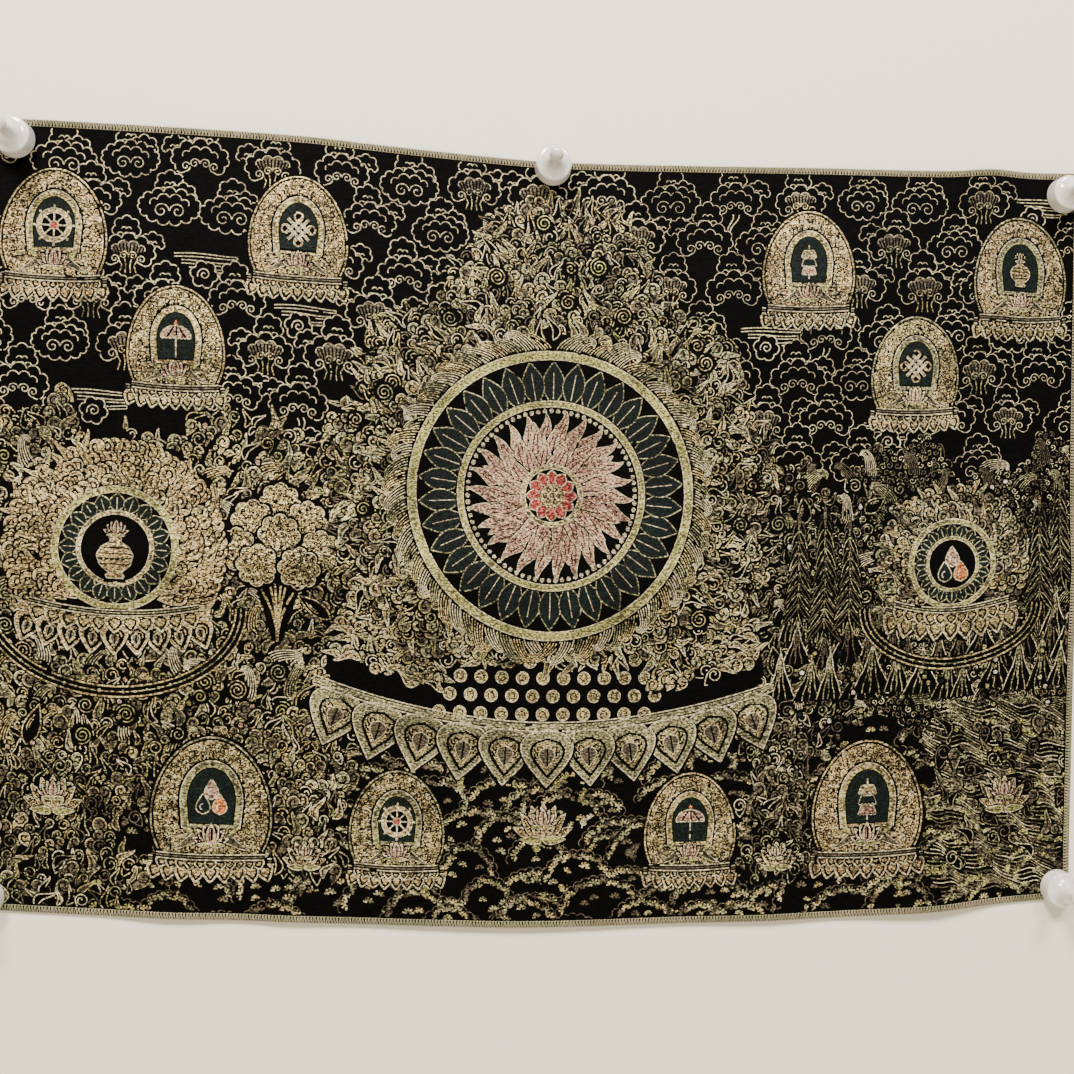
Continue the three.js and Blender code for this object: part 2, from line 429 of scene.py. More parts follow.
def spiral(centre, radius, start, turns, hand, tight, count=20):
    """A spiral from its outer end in: the tight share of its radius is left at its inner end."""
    t = np.linspace(0, 1, count)
    return centre + radius * (1 - (1 - tight) * t) * polar(start + hand * 360 * turns * t)


def scallops(path, swell=75, count=7):
    """Round bumps between neighbouring points of a path, out to its left. The swell is half a bump's arc."""
    swing = np.radians(np.linspace(-swell, swell, count))[None]
    flat = math.radians(swell)
    a, b = path[:-1, None], path[1:, None]
    shape = (np.sin(swing) + 1j * (np.cos(swing) - math.cos(flat))) / math.sin(flat)
    return ((a + b) / 2 + (b - a) / 2 * shape).ravel()


def oval(centre, wide, high, count=28, start=0, stop=360):
    a = np.radians(np.linspace(start, stop, count))
    return centre + wide * np.cos(a) + 1j * high * np.sin(a)


def disc(centre, radius, ink, count=28):
    shade(oval(centre, radius, radius, count), ink)


def closed(path):
    return np.append(path, path[0])


def petal(at, turn, length, wide, belly=0.7, count=11):
    """A petal that grows from a point: the belly below 1 lies near its foot, and its tip is pointed."""
    s = np.linspace(0, 1, count)
    side = wide * np.sin(np.pi * s**belly)
    half = length * s + 1j * side
    return at + polar(turn) * np.concatenate([half, np.conj(half[-2::-1])])


def roll_up(at, turn, size, hand, tail, bow):
    """A tail that sweeps into a rolled head: the outline from tip to head, the belly and the inner roll."""
    t = np.linspace(0, 1, 6)[:-1]
    lead = -tail * (1 - t) + 1j * (1 - bow * (1 - t) ** 2)
    head = polar(np.linspace(90, -135, 11))
    s = np.linspace(0, 1, 6)[1:]
    belly = head[-1] * (1 - s) + lead[0] * s + 1j * (0.1 - 0.35 * bow) * np.sin(np.pi * s)
    r = np.linspace(0, 1, 12)
    roll = (1 - 0.86 * r) * polar(-135 - 330 * r)
    shapes = (np.concatenate([lead, head]), belly, roll)
    return [at + size * polar(turn) * (shape if hand > 0 else np.conj(shape)) for shape in shapes]


def scatter(inside, pitch, low, high, loose=0.3):
    """Points about a pitch apart inside a region, the highest first."""
    found = []
    for row, height in enumerate(np.arange(low.imag, high.imag, pitch * 0.87)):
        u = np.arange(low.real + (row % 2) * pitch / 2, high.real, pitch)
        slip = rng.uniform(-1, 1, len(u)) + 1j * rng.uniform(-1, 1, len(u))
        found.append(u + 1j * height + pitch * loose * slip)
    points = np.concatenate(found)
    points = points[[bool(inside(p)) for p in points]]
    return points[np.argsort(-points.imag)]


# Clouds.
def curl_pair(at, size, ink, wide=0.8):
    """Two curls that part from one point and roll away from each other."""
    for side in (-1, 1):
        curl = spiral(at + side * 0.46 * size, 0.45 * size, 90 + 90 * side, 1.4, -side, 0.16, 22)
        draw(curl, ink, wide, 0.85)


def bump_row(at, span, count, wide):
    draw(scallops(at + np.linspace(-span / 2, span / 2, count + 1), 82, 9), "cream", wide, 0.8)


# How many degrees past its widest place a cloud's outline goes on down, for each kind of cloud.
CLOUD_DIPS = {"open": 58, "oval": 90, "small": 34}


def cloud_head(at, wide, high, bumps, kind, tint=None):
    """A scalloped cloud: open below with curled ends, an oval, or a small head with rows of bumps."""
    a = np.radians(np.linspace(180 + CLOUD_DIPS[kind], -CLOUD_DIPS[kind], bumps + 1))
    arch = at + wide * np.cos(a) + 1j * high * np.sin(a)
    edge = scallops(arch, 78, 9)
    clear(edge)
    fine = 0.86 if at.real < 90 else 0.58
    draw(edge, "cream", fine, 0.8)
    if kind == "small":
        bump_row(at + 0.02j * high, 0.84 * wide, 2, fine)
        bump_row(at - 0.5j * high, 1.5 * wide, 3, fine)
        return
    bumps_inside = scallops(oval(at - 0.05j * high, wide * 0.66, high * 0.62, 5, 166, 14), 78, 9)
    if tint:
        # some clouds are warm inside: a dim fill round their curls, broken up by dark rays
        shade(np.concatenate([bumps_inside, at + wide * np.array([0.4, -0.4]) - 0.5j * high]), "bronze")
        for share in np.linspace(-1, 1, 10):
            ray = wide * share * np.array([0.3, 0.5, 0.66]) + 1j * high * np.array([-0.6, -0.1, 0.5])
            cut(at + ray, 0.75)
    draw(bumps_inside, "cream", fine * 0.92, 0.9)
    if tint:
        curl_pair(at - 0.26j * high, wide * 0.4, tint)
        for share in (-0.3, -0.1, 0.1, 0.3):
            root = share * np.array([1.3, 0.8, 1.1]) + 1j * np.array([-0.3, -0.55, -0.85])
            draw(at + wide * root, tint, 0.85, 1.2)
    else:
        curl_pair(at - 0.3j * high, wide * (0.44 if kind == "open" else 0.6), "cream", fine * 0.94)
    if kind == "open":
        reach = wide * 0.2
        for end, hand in ((arch[0], 1), (arch[-1], -1)):
            draw(spiral(end + 1j * reach, reach, -90, 1.35, hand, 0.2, 22), "cream", fine, 0.9)


def cloud_tail(at, length, lean):
    t = np.linspace(0, 1, 14)
    sway = 2.0 * np.sin(t * 7) * (1 - 0.4 * t)
    for side in (-1, 1):
        line = at + side * (2.4 * (1 - t) + 0.4) + sway + lean * t * length - 1j * length * t
        draw(line, "cream", 0.9, 1.2)


def cloud(at, size, lean, tint, tail):
    """A stack of cloud heads, the small ones behind the others."""
    if tail:
        cloud_tail(at - 0.4j * size, size * 1.1, 0.25 * lean)
    cloud_head(at + size * (0.1 * lean + 0.92j), size * 0.46, size * 0.46, 5, "small")
    cloud_head(at + size * (-0.94 * lean + 0.4j), size * 0.4, size * 0.38, 5, "small")
    cloud_head(at, size, size * 0.58, 9, "open", tint)


def cloud_ball(at, size):
    edge = scallops(arc(at, size, 200, -160, 7), 78, 9)
    clear(edge)
    draw(edge, "cream", 0.98, 0.8)
    draw(spiral(at, size * 0.62, 200, 1.5, -1, 0.12), "cream", 0.92, 0.9)


def mist(at, length):
    """Three flat hairpins of mist, each a little shifted from the one above."""
    layer()
    for k in range(3):
        long = length * (1 - 0.16 * k)
        start = at + 0.12 * length * k - 1j * 5.4 * k
        t = np.linspace(0, 1, 14)
        upper = start + long * t + 1j * (1.2 + 0.8 * np.sin(t * 5 + k))
        lower = start + long * t[::-1] - 1j * (1.2 - 0.5 * np.sin(t[::-1] * 5 + k))
        draw(np.concatenate([upper, lower]), "cream", 0.85, 2.0)


# Flames and scrolls.
def flame(at, turn, size, hand, body, edge, thin):
    """One flame scroll with a dark gap round it. With no body it is drawn in lines alone."""
    tail, bow = rng.uniform(1.6, 3.0), rng.uniform(0.2, 1.5)
    back, belly, _ = roll_up(at, turn, size + 1.25, hand, tail, bow)
    clear(np.concatenate([back, belly]))
    back, belly, roll = roll_up(at, turn, size, hand, tail, bow)
    if body:
        shade(np.concatenate([back, belly]), body)
        cut(roll[1:], 0.9)
        cut(even(np.concatenate([belly[::-1][:3], roll[:2]]), 2), 0.5)
        draw(back, edge, thin, 1.8)
    else:
        draw(np.concatenate([back, roll[1:]]), edge, thin, 1.7)
        draw(belly, edge, thin * 0.9, 2.4)


def both_sides(middle, side):
    """A closed outline from a middle line and how far its two sides are from it."""
    return np.concatenate([middle + side, (middle - side)[::-1]])


def wisp(at, turn, size, hand, body, edge, thin):
    """A tongue of flame that sways once and runs out in a point, with a dark gap round it."""
    s = np.linspace(0, 1, 10)
    middle = size * (4.0 * s - 1.6) + 1j * hand * size * 0.62 * np.sin(s * 4.7)
    side = 1j * size * 0.56 * np.sin(np.pi * s**0.6)
    gap = 1j * np.minimum(0.9, 5 * (1 - s))
    clear(at + polar(turn) * both_sides(middle, side + gap))
    around = at + polar(turn) * both_sides(middle, side)
    if body:
        shade(around, body)
        cut(at + polar(turn) * (middle + 0.2 * side)[1:-3], 0.5)
    draw(around, edge, thin, 1.4)


# How many of the flames are pointed wisps.
WISP_SHARE = 0.45


def flames(places, size, heading, tones, thin=0.9, loose=40):
    """Flame scrolls and pointed wisps at many places. Tones are pairs of body and edge."""
    for p in places:
        tone = pick(tones)
        one = wisp if rng.random() < WISP_SHARE else flame
        turn = heading(p) + rng.uniform(-loose, loose)
        one(p, turn, size * rng.uniform(0.72, 1.3), either_way(), *tone, thin)


def strands(at, turn, length, count, gap, bend, ink, thin=0.85):
    """A lock of strands that run side by side and roll over at the end."""
    s = np.linspace(0, 1, 12)
    way = turn + bend * np.sin(s * 4.5) + np.sign(bend) * 230 * s**4
    middle = at + np.cumsum(length / len(s) * polar(way) * (1 - 0.35 * s))
    lanes = [middle + 1j * polar(way) * gap * (k - (count - 1) / 2) * (1 - 0.55 * s) for k in range(count)]
    clear(np.concatenate([lanes[0], lanes[-1][::-1]]))
    for lane in lanes:
        draw(lane, ink, thin, 2.2)


def pearls(places, ink_choices):
    radius, gap = 2.0, 0.9
    for p in places:
        clear(oval(p, radius + gap, radius + gap, 10))
        disc(p, radius, pick(ink_choices), 10)


def sash(path, wide, edge, trim):
    """A dark scarf with light edges and a row of knots along its middle."""
    path = even(path, 3.0)
    side = 1j * np.gradient(path) / np.abs(np.gradient(path)) * wide / 2
    clear(both_sides(path, side * 1.3))
    for lane in (-1, 1):
        draw(path + side * lane, edge, 1.3, 2.2)
    draw(path, trim, 0.9, 2.2)
    for p in path[1:-1:3]:
        disc(p, 1.2, edge, 9)


def pool(at, wide, high, turn, edge):
    """An open dark shape with a light edge and a few strands in it."""
    hull = at + polar(turn) * petal(-wide, 0, wide * 2, high, 0.75, 12)
    clear(at + (hull - at) * 1.16)
    draw(closed(hull), edge, 1.1, 2.0)
    for share in (0.3, 0.55):
        draw(at + (hull[2:-12] - at) * share, edge, 0.8, 2.2)


def peak(at, wide, high, ink, hatch):
    """A steep rock, pleated from its top down."""
    t = np.linspace(0, 1, 8)
    folds = [at + share * wide / 2 * t**1.5 + 1j * high * (1 - t) for share in (-1, -0.5, -0.1, 0.36, 1)]
    clear(np.concatenate([folds[0], folds[-1][::-1]]))
    for k, fold in enumerate(folds):
        line = fold[k % 2 :]
        draw(line + 0.5 * np.sin(np.arange(len(line)) * 2.1 + k), ink if k in (0, 4) else hatch, 0.85, 1.9)
        if k in (1, 2):
            for share in (0.4, 0.62):
                root = at + 1j * high * (1 - share) + (fold[int(share * 7)] - at).real
                draw(root + np.array([0, 1.6 - 3.2j, 1.2 - 7j]) * (1, -1)[k - 1], hatch, 0.75, 1.8)


def big_curl(at, radius, hand, ink):
    """A large whorl of one long line."""
    clear(oval(at, radius + 1.3, radius + 1.3, 20))
    draw(spiral(at, radius, rng.uniform(0, 360), radius / 3.1, hand, 0.12, 40), ink, 0.85, 1.4)


def waves(inside, low, high, pitch, inks_used):
    """Water: rows of long swells."""
    step = 2.4
    for v in np.arange(high.imag, low.imag, -pitch):
        u = np.arange(low.real, high.real, step)
        swell = 3.0 * np.sin(u / 7.5 + v / 11) + 0.9 * np.sin(u / 3.3 + v / 7)
        line = u + 1j * (v + swell - (u - low.real) * 0.35)
        for a, b in runs(np.array([bool(inside(p)) for p in line])):
            if b - a > 2:
                draw(line[a:b], pick(inks_used), 0.85, step)


def sprig(at, turn, size, ink):
    """A stem with small leaves on both sides."""
    t = np.linspace(0, 1, 6)
    stem = at + polar(turn) * size * (t + 0.16j * np.sin(t * 4))
    draw(stem, ink, 0.8, 1.6)
    for k in range(1, 6):
        for side in (-1, 1):
            leaf = petal(stem[k], turn + side * 52, size * 0.26 * (1.3 - 0.12 * k), size * 0.06, 0.8, 6)
            draw(leaf, ink, 0.7, 1.4)


def tongue(at, turn, length, wide, body):
    """A long flame tongue with a bent tip and strands inside."""
    s = np.linspace(0, 1, 12)
    middle = length * s + 1j * (0.16 * np.sin(s * 5.2) * length * 0.5)
    side = 1j * (wide * np.sin(np.pi * s**0.62))
    clear(at + polar(turn) * both_sides(middle, side * 1.18))
    around = at + polar(turn) * both_sides(middle, side)
    shade(around, body)
    for share in (-0.4, 0.25):
        cut(at + polar(turn) * (middle + side * share)[2:-3], 0.45)
    draw(around, "cream", 0.7, 1.9)


# Rings, petals and beads.
def ring(centre, outer, inner, body, thin=0.9):
    """A ring with a cream line along both its edges."""
    around = arc(centre, outer, 0, 360, 90)
    shade(np.concatenate([around, arc(centre, inner, 360, 0, 90)]), body)
    draw(around, "cream", thin)
    draw(arc(centre, inner, 0, 360, 80), "cream", thin)


def beads(path, pitch, radius, body):
    for p in even(path, pitch)[:-1]:
        disc(p, radius, body, 10)


def petal_wheel(centre, inner, outer, count, body, edge, belly, vein="cream"):
    wide = math.pi * outer / count * 0.9
    for k in range(count):
        turn = 360 * k / count + 90
        layer()
        around = petal(centre + inner * polar(turn), turn, outer - inner, wide, belly)
        shade(around, body)
        draw(around, edge, 1.0)
        if vein:
            t = np.linspace(0.15, 0.75, 5)
            draw(centre + polar(turn) * (inner + (outer - inner) * t), vein, 0.8)


def lotus_heart(at, turn, drop, wide, tip, edge):
    """What a large petal of a seat holds: a gold leaf with curls cut in it, over a small heart."""
    leaf = petal(at + polar(turn) * drop * 0.16, turn, drop * 0.56, wide * 0.66, 0.62)
    layer()
    shade(leaf, "gold")
    for side in (-1, 1):
        for share in (0.3, 0.62):
            root = at + polar(turn) * drop * (0.2 + 0.3 * share) + 1j * polar(turn) * side * wide * 0.4
            cut(spiral(root, drop * 0.085, turn + 90 * side, 1.1, -side, 0.3, 12), 0.9)
    heart = petal(at + polar(turn) * drop * 0.26, turn, drop * 0.36, wide * 0.4, 0.62)
    clear(at + (heart - at) * 1.04)
    shade(heart, tip)
    draw(heart, edge, 0.8, 1.6)
    cut(at + polar(turn) * drop * np.linspace(0.3, 0.58, 5), 0.9)


def lotus_seat(centre, half, drop, count, bow, body, tip, edge):
    """A row of broad lotus petals that hang from a bowed seat line. Only large ones have a heart."""
    large, wide = drop > 20, half / count
    for k in [*range(count // 2), *reversed(range(count // 2, count))]:
        t = (k + 0.5) / count * 2 - 1
        at = centre + half * t + 1j * bow * t * t
        turn = -90 + 22 * t
        around = petal(at + 0.06j * drop, turn, drop, wide * 1.3, 0.6, 13)
        clear(petal(at + 0.06j * drop, turn, drop * 1.05, wide * 1.42, 0.6, 13))
        shade(around, body)
        draw(around, edge, 1.1, 1.8)
        inner = petal(at + polar(turn) * drop * 0.12, turn, drop * 0.66, wide * 0.82, 0.62)
        cut(inner, 1.5 if large else 0.9)
        if large:
            lotus_heart(at, turn, drop, wide, tip, edge)
    t = np.linspace(-1, 1, 40)
    rim = centre + half * 1.04 * t + 1j * bow * t * t
    if large:
        for lift, ink, thick in ((1.0, edge, 1.0), (3.4, body, 1.7), (5.6, body, 1.7), (8.0, edge, 1.0)):
            draw(rim + 1j * lift, ink, thick, 3.0)
    else:
        clear(np.concatenate([rim - 0.4j, (rim + 5.6j)[::-1]]))
        for lift, ink in ((0.5, edge), (2.6, tip), (4.7, edge)):
            draw(rim + 1j * lift, ink, 0.95, 3.0)


LOTUS_PETALS = (
    # turns, length and half width for a flower of size 1, the outer petals first
    ((156, 24), 0.98, 0.17), ((130, 50), 1.04, 0.19), ((109, 71), 1.1, 0.19), ((90,), 1.12, 0.21),
)


def lotus_flower(at, size, body):
    """An open lotus seen from the side, each petal with a dark gap round it and veins from its foot."""
    vein = np.linspace(0.22, 0.8, 6)
    for turns, length, wide in LOTUS_PETALS:
        for turn in turns:
            clear(petal(at, turn, size * length + 1.4, size * wide + 1.1, 0.8))
            around = petal(at, turn, size * length, size * wide, 0.8)
            shade(around, body)
            for share in (-0.4, 0, 0.4) if size > 15 else (0,):
                path = length * vein + 1j * share * wide * np.sin(np.pi * vein)
                cut(at + polar(turn) * size * path, 0.5)
            draw(around, "cream", 0.85, 1.6)
    for turn in (176, 4):
        clear(petal(at, turn, size * 0.7 + 1, size * 0.12 + 0.9, 0.7))
        around = petal(at, turn, size * 0.7, size * 0.12, 0.7)
        shade(around, "green")
        draw(around, "cream", 0.8)


# Signs of good fortune for the medallions.
def profile(at, size, table):
    """A closed outline, the same on both sides, from (half width, height) pairs."""
    half = np.array([w + 1j * h for w, h in table])
    return at + size * np.concatenate([half, -np.conj(half[::-1])])


def sign_wheel(at, size):
    clear(oval(at, size, size))
    ring(at, size, size * 0.74, "copper")
    for turn in range(0, 360, 45):
        draw(at + polar(turn) * size * np.array([0.2, 0.5, 0.76, 1.16]), "cream", 1.2)
        disc(at + polar(turn) * size * 1.14, size * 0.09, "cream", 8)
    disc(at, size * 0.24, "red", 14)
    draw(arc(at, size * 0.25, 0, 360, 16), "cream", 0.9)


# The vase's outline, from its foot up: half width and height for a vase of size 1.
VASE = (
    (0.3, -1), (0.34, -0.9), (0.22, -0.8), (0.56, -0.5), (0.66, -0.15), (0.5, 0.15), (0.2, 0.32),
    (0.18, 0.45), (0.36, 0.56),
)


def sign_vase(at, size):
    jar = profile(at, size, VASE)
    clear(at + (jar - at) * 1.16)
    shade(jar, "copper")
    draw(closed(jar), "cream", 0.9)
    for height in (-0.5, -0.1, 0.1):
        cut(at + size * (np.linspace(-0.62, 0.62, 9) + 1j * height), 0.9)
    beads(at + size * (np.linspace(-0.5, 0.5, 9) - 0.3j), size * 0.2, size * 0.07, "teal")
    lotus_flower(at + 0.56j * size, size * 0.5, "pink")


def sign_knot(at, size):
    clear(at + 1.15 * size * polar(np.arange(4) * 90))
    for k in (-1, 0, 1):
        for turn in (45, 135):
            along, across = polar(turn), polar(turn + 90)
            band = along * size * (0.92 - 0.2 * abs(k)) * np.linspace(-1, 1, 7)
            for lift in (-0.055, 0.055):
                draw(at + across * size * (0.36 * k + lift) + band, "cream", 1.0)
    for turn in (0, 90, 180, 270):
        draw(arc(at + polar(turn) * size * 0.78, size * 0.27, turn - 150, turn + 150, 12), "copper", 1.4)


def sign_jewels(at, size):
    for shift, ink in ((-0.42 - 0.35j, "teal"), (0.42 - 0.35j, "orange"), (0.4j, "pink")):
        layer()
        drop = petal(at + size * (shift - 0.42j), 90, size * 1.05, size * 0.36, 0.62)
        shade(drop, ink)
        draw(drop, "cream", 1.0)
        draw(arc(at + size * (shift - 0.05j), size * 0.16, 90, 250, 7), "white", 0.9)


def sign_banner(at, size):
    layer()
    draw(at + size * np.array([-1.1j, 1.1j]), "cream", 1.3)
    for k, ink in enumerate(("copper", "teal", "pink")):
        top = at + size * 1j * (0.75 - 0.55 * k)
        layer()
        tier = top + size * np.array([-0.34, 0.34, 0.5 - 0.42j, -0.5 - 0.42j])
        shade(tier, ink)
        hem = scallops(np.linspace(tier[2], tier[3], 6))
        draw(np.concatenate([tier[[3, 0, 1, 2]], hem]), "cream", 0.9)


def sign_parasol(at, size):
    layer()
    draw(at + size * np.array([-1.15j, 0.2j]), "cream", 1.3)
    dome = at + size * (0.1j + oval(0, 0.95, 0.72, 20, 180, 0))
    shade(dome, "pink")
    for share in (-0.55, 0.0, 0.55):
        cut(at + size * (0.1j + 0.72j * np.linspace(0.05, 0.95, 8) + share * np.linspace(1, 0.2, 8)), 0.8)
    draw(dome, "cream", 1.0)
    hem = scallops(np.linspace(dome[-1], dome[0], 9))
    draw(hem, "cream", 1.0)
    shade(petal(at + 0.8j * size, 90, size * 0.4, size * 0.13), "orange")


def halo(at, wide, high):
    """A tall arch with a rounded head and a straight foot."""
    a = np.radians(np.linspace(-52, 232, 44))
    rise = np.where(np.sin(a) > 0, np.sin(a), 0.9 * np.sin(a))
    return at + wide * np.cos(a) * (1 - 0.06 * np.sin(a)) + 1j * high * rise


def lace(inside, low, high, inks_used, pitch, radius, wide):
    """Small curls of thread, close together, that fill a region like a knotted net."""
    for p in scatter(inside, pitch, low, high, 0.22):
        clear(oval(p, radius + 0.5, radius + 0.5, 10))
        ink = pick(inks_used)
        size, start, turns = radius * rng.uniform(0.9, 1.15), rng.uniform(0, 360), rng.uniform(1.0, 1.3)
        draw(spiral(p, size, start, turns, either_way(), 0.18, 15), ink, wide, 1.1)


def niche(at, wide, high):
    """An arch with a straight foot."""
    a = np.radians(np.linspace(-4, 184, 26))
    foot = wide * 0.92 + 0.7j * high
    top = at + wide * np.cos(a) + 1j * high * np.sin(a)
    return np.concatenate([[at + np.conj(foot)], top, [at - foot]])


# The leaves at a medallion's foot: turn, reach for a half width of 1, body and edge.
FOOT_LEAVES = (
    (150, 0.62, "halo", "bronze"), (118, 0.54, "green", "olive"), (178, 0.6, "bronze", "cream"),
    (92, 0.36, "halo", "bronze"),
)


def medallion(at, wide, high, sign, body, band, foot):
    """A sign in a dark niche, in a halo of small curls, over leaves and a lotus seat."""

    def in_halo(p):
        rise = (p - at).imag / high
        return ((p - at).real / wide) ** 2 + rise * rise < 0.86 and rise > -0.72

    def curls(pitch, loose, radius, turns):
        for p in scatter(in_halo, pitch, at - wide - 1j * high, at + wide + 1j * high, loose):
            yield spiral(p, radius, rng.uniform(0, 360), turns, either_way(), 0.3, 12)

    clear(halo(at, wide * 1.05, high * 1.04))
    draw(closed(halo(at, wide, high)), band, 1.3, 1.8)
    layer()
    shade(halo(at, wide * 0.955, high * 0.96), body)
    for curl in curls(5.0, 0.25, 2.7, 1.15):
        cut(curl, 0.5)
    for curl in curls(9.4, 0.35, 2.6, 1.05):
        draw(curl, pick(("cream", "gold")), 0.9, 1.1)
    for k in range(26):
        turn = -38 + 256 * k / 25
        root = at + 0.12j * high + oval(0, wide * 0.5, high * 0.5, 1, turn, turn)[0]
        wisp(root, turn + (90 - turn) * 0.35, wide * 0.085, (-1) ** k, body, (body, "cream")[k % 2], 0.7)
    middle = at + 0.16j * high
    clear(niche(middle, wide * 0.56, high * 0.56))
    shade(niche(middle, wide * 0.52, high * 0.53), band)
    draw(niche(middle, wide * 0.52, high * 0.53), "cream", 0.85, 1.6)
    clear(niche(middle, wide * 0.42, high * 0.45))
    shade(niche(middle, wide * 0.39, high * 0.43), "teal")
    draw(niche(middle, wide * 0.42, high * 0.45), "green", 0.9, 1.6)
    sign(middle + 0.02j * high, wide * 0.33)
    for side in (-1, 1):
        for turn, reach, ink, edge in FOOT_LEAVES:
            root = at - 0.4j * high + side * wide * 0.2
            ink = body if ink == "halo" else ink
            wisp(root, 90 - side * (turn - 90), wide * reach / 3.2, side, ink, edge, 0.75)
    lotus_flower(at - 0.44j * high, wide * 0.34, "pink")
    lotus_seat(at - 0.7j * high, wide * 0.98, high * 0.25, 9, 2.0, foot, "bronze", "cream")
    lotus_seat(at - 0.64j * high, wide * 0.86, high * 0.13, 11, 1.5, body, "bronze", "cream")


# Trees, hills and tufts.
def tuft(at, turn, size, ink):
    """A small fan of short floats, like a tuft of grass."""
    for lean in (-78, -39, 0, 39, 78):
        draw(at + polar(turn + lean) * size * np.array([0.22, 0.7, 1.0]), ink, 1.45, 2.8)


def hill(at, wide, high, inks_used):
    """A dark mound with a lacy bronze rim and tufts on it."""

    def in_hill(p):
        span = p - at
        return abs(span.real / wide) ** 2 + abs(span.imag / high) ** 2 < 0.5 and p.imag > at.imag

    edge = oval(at, wide, high, 30, 180, 0)
    clear(edge)
    draw(scallops(even(edge, 7.0), 70), "bronze", 0.7, 1.4)
    for p in even(edge, 7.4):
        lean = math.degrees(math.atan2((p - at).imag / high, (p - at).real / wide)) + rng.uniform(-24, 24)
        if p.imag > at.imag + 0.2 * high:
            root = p - polar(lean) * rng.uniform(3.4, 5.8)
            tuft(root, lean, rng.uniform(3.8, 5.2), pick(inks_used))
    for p in scatter(in_hill, 13.0, at - wide, at + wide + 1j * high):
        tuft(p, 90 + rng.uniform(-20, 20), rng.uniform(3.2, 4.8), pick(inks_used))


def pine(at, high, ink, edge):
    """A slender pine of long drooping boughs."""
    rows = int(high / 9)
    for k in range(rows):
        share = (k + 1) / rows
        foot = at + 1j * high * (1 - 0.86 * k / rows)
        reach = high * 0.16 + 9 * share
        for side in (-1, 1):
            for spread, wide_bough in ((12, 0), (34, 1)):
                way = -90 + side * spread * (0.6 + 0.5 * share)
                clear(petal(foot, way, reach + 1.2, 2.8, 0.8, 9))
                draw(petal(foot, way, reach, 1.7, 0.8, 9), (ink, edge)[(k + wide_bough) % 2], 0.72, 1.8)
    layer()
    shade(petal(at + 1j * high * 1.1, -90, high * 0.2, 1.6), edge)


def tree(at, high, crown):
    """A broad tree: rounded masses of leaves, with dark gaps round them, on a trunk with boughs."""
    layer()
    for shift in crown:
        disc(at + shift, 18.5, "ground", 24)
    shade(at + np.array([-4, 4, 17 + 44j, -17 + 44j]), "ground")
    t = np.linspace(0, 1, 8)
    for lean in (-27, -11, 11, 27, -4, 4):
        draw(at + 1j * high * 0.7 * t + lean * t * t * 1.6, "gold", 1.6)
    for shift in crown:
        p = at + shift
        edge = scallops(arc(p, 13.5, 200, -160, 9))
        clear(scallops(arc(p, 15.2, 200, -160, 9)))
        shade(edge, "gold")
        for q in scatter(lambda q: abs(q - p) < 15, 3.6, p - 15 - 15j, p + 15 + 15j):
            cut(arc(q, 1.2, rng.uniform(0, 360), rng.uniform(360, 560), 5), 0.6)
        draw(edge, "cream", 0.7)


WHEEL = 38j

# Pairs of body and edge ink. A flame with no body is drawn in lines alone.
WARM = (
    ("olive", "cream"), ("gold", "cream"), ("bronze", "green"), ("bronze", "gold"), (None, "cream"),
    (None, "olive"), (None, "gold"), ("olive", "gold"), (None, "bronze"),
)
DEEP = (
    ("olive", "gold"), ("bronze", "green"), ("bronze", "olive"), ("bronze", "gold"), (None, "cream"),
    (None, "olive"), (None, "gold"), ("olive", "cream"), ("gold", "olive"),
)
COOL = (
    (None, "cream"), (None, "olive"), ("bronze", "olive"), (None, "bronze"), ("bronze", "olive"),
    (None, "olive"), (None, "bronze"),
)
RICH = (("copper", "cream"), ("gold", "cream"), ("olive", "cream"), ("gold", "olive"), (None, "cream"))

MEDALLIONS = (
    # u, v, half width, half height, sign, halo, band, seat
    (-390, 214, 40, 53, "wheel", "copper", "gold", "copper"),
    (-296, 132, 37, 49, "parasol", "gold", "copper", "gold"),
    (-204, 222, 38, 50, "knot", "copper", "gold", "gold"),
    (208, 218, 38, 50, "banner", "copper", "gold", "gold"),
    (300, 134, 37, 49, "knot", "gold", "olive", "copper"),
    (390, 212, 40, 53, "vase", "copper", "olive", "gold"),
    (-262, -222, 46, 58, "jewels", "gold", "olive", "copper"),
    (-118, -232, 37, 48, "wheel", "gold", "olive", "copper"),
    (118, -232, 37, 48, "parasol", "gold", "copper", "copper"),
    (266, -220, 46, 58, "banner", "copper", "gold", "copper"),
)
SIGNS = {
    "wheel": sign_wheel, "parasol": sign_parasol, "knot": sign_knot,
    "banner": sign_banner, "vase": sign_vase, "jewels": sign_jewels,
}


def clear_of_medallions(p, margin):
    for u, v, wide, high, *_ in MEDALLIONS:
        span = p - u - 1j * v
        if abs(span.real / wide) ** 2 + abs(span.imag / high) ** 2 <= margin:
            return False
    return True


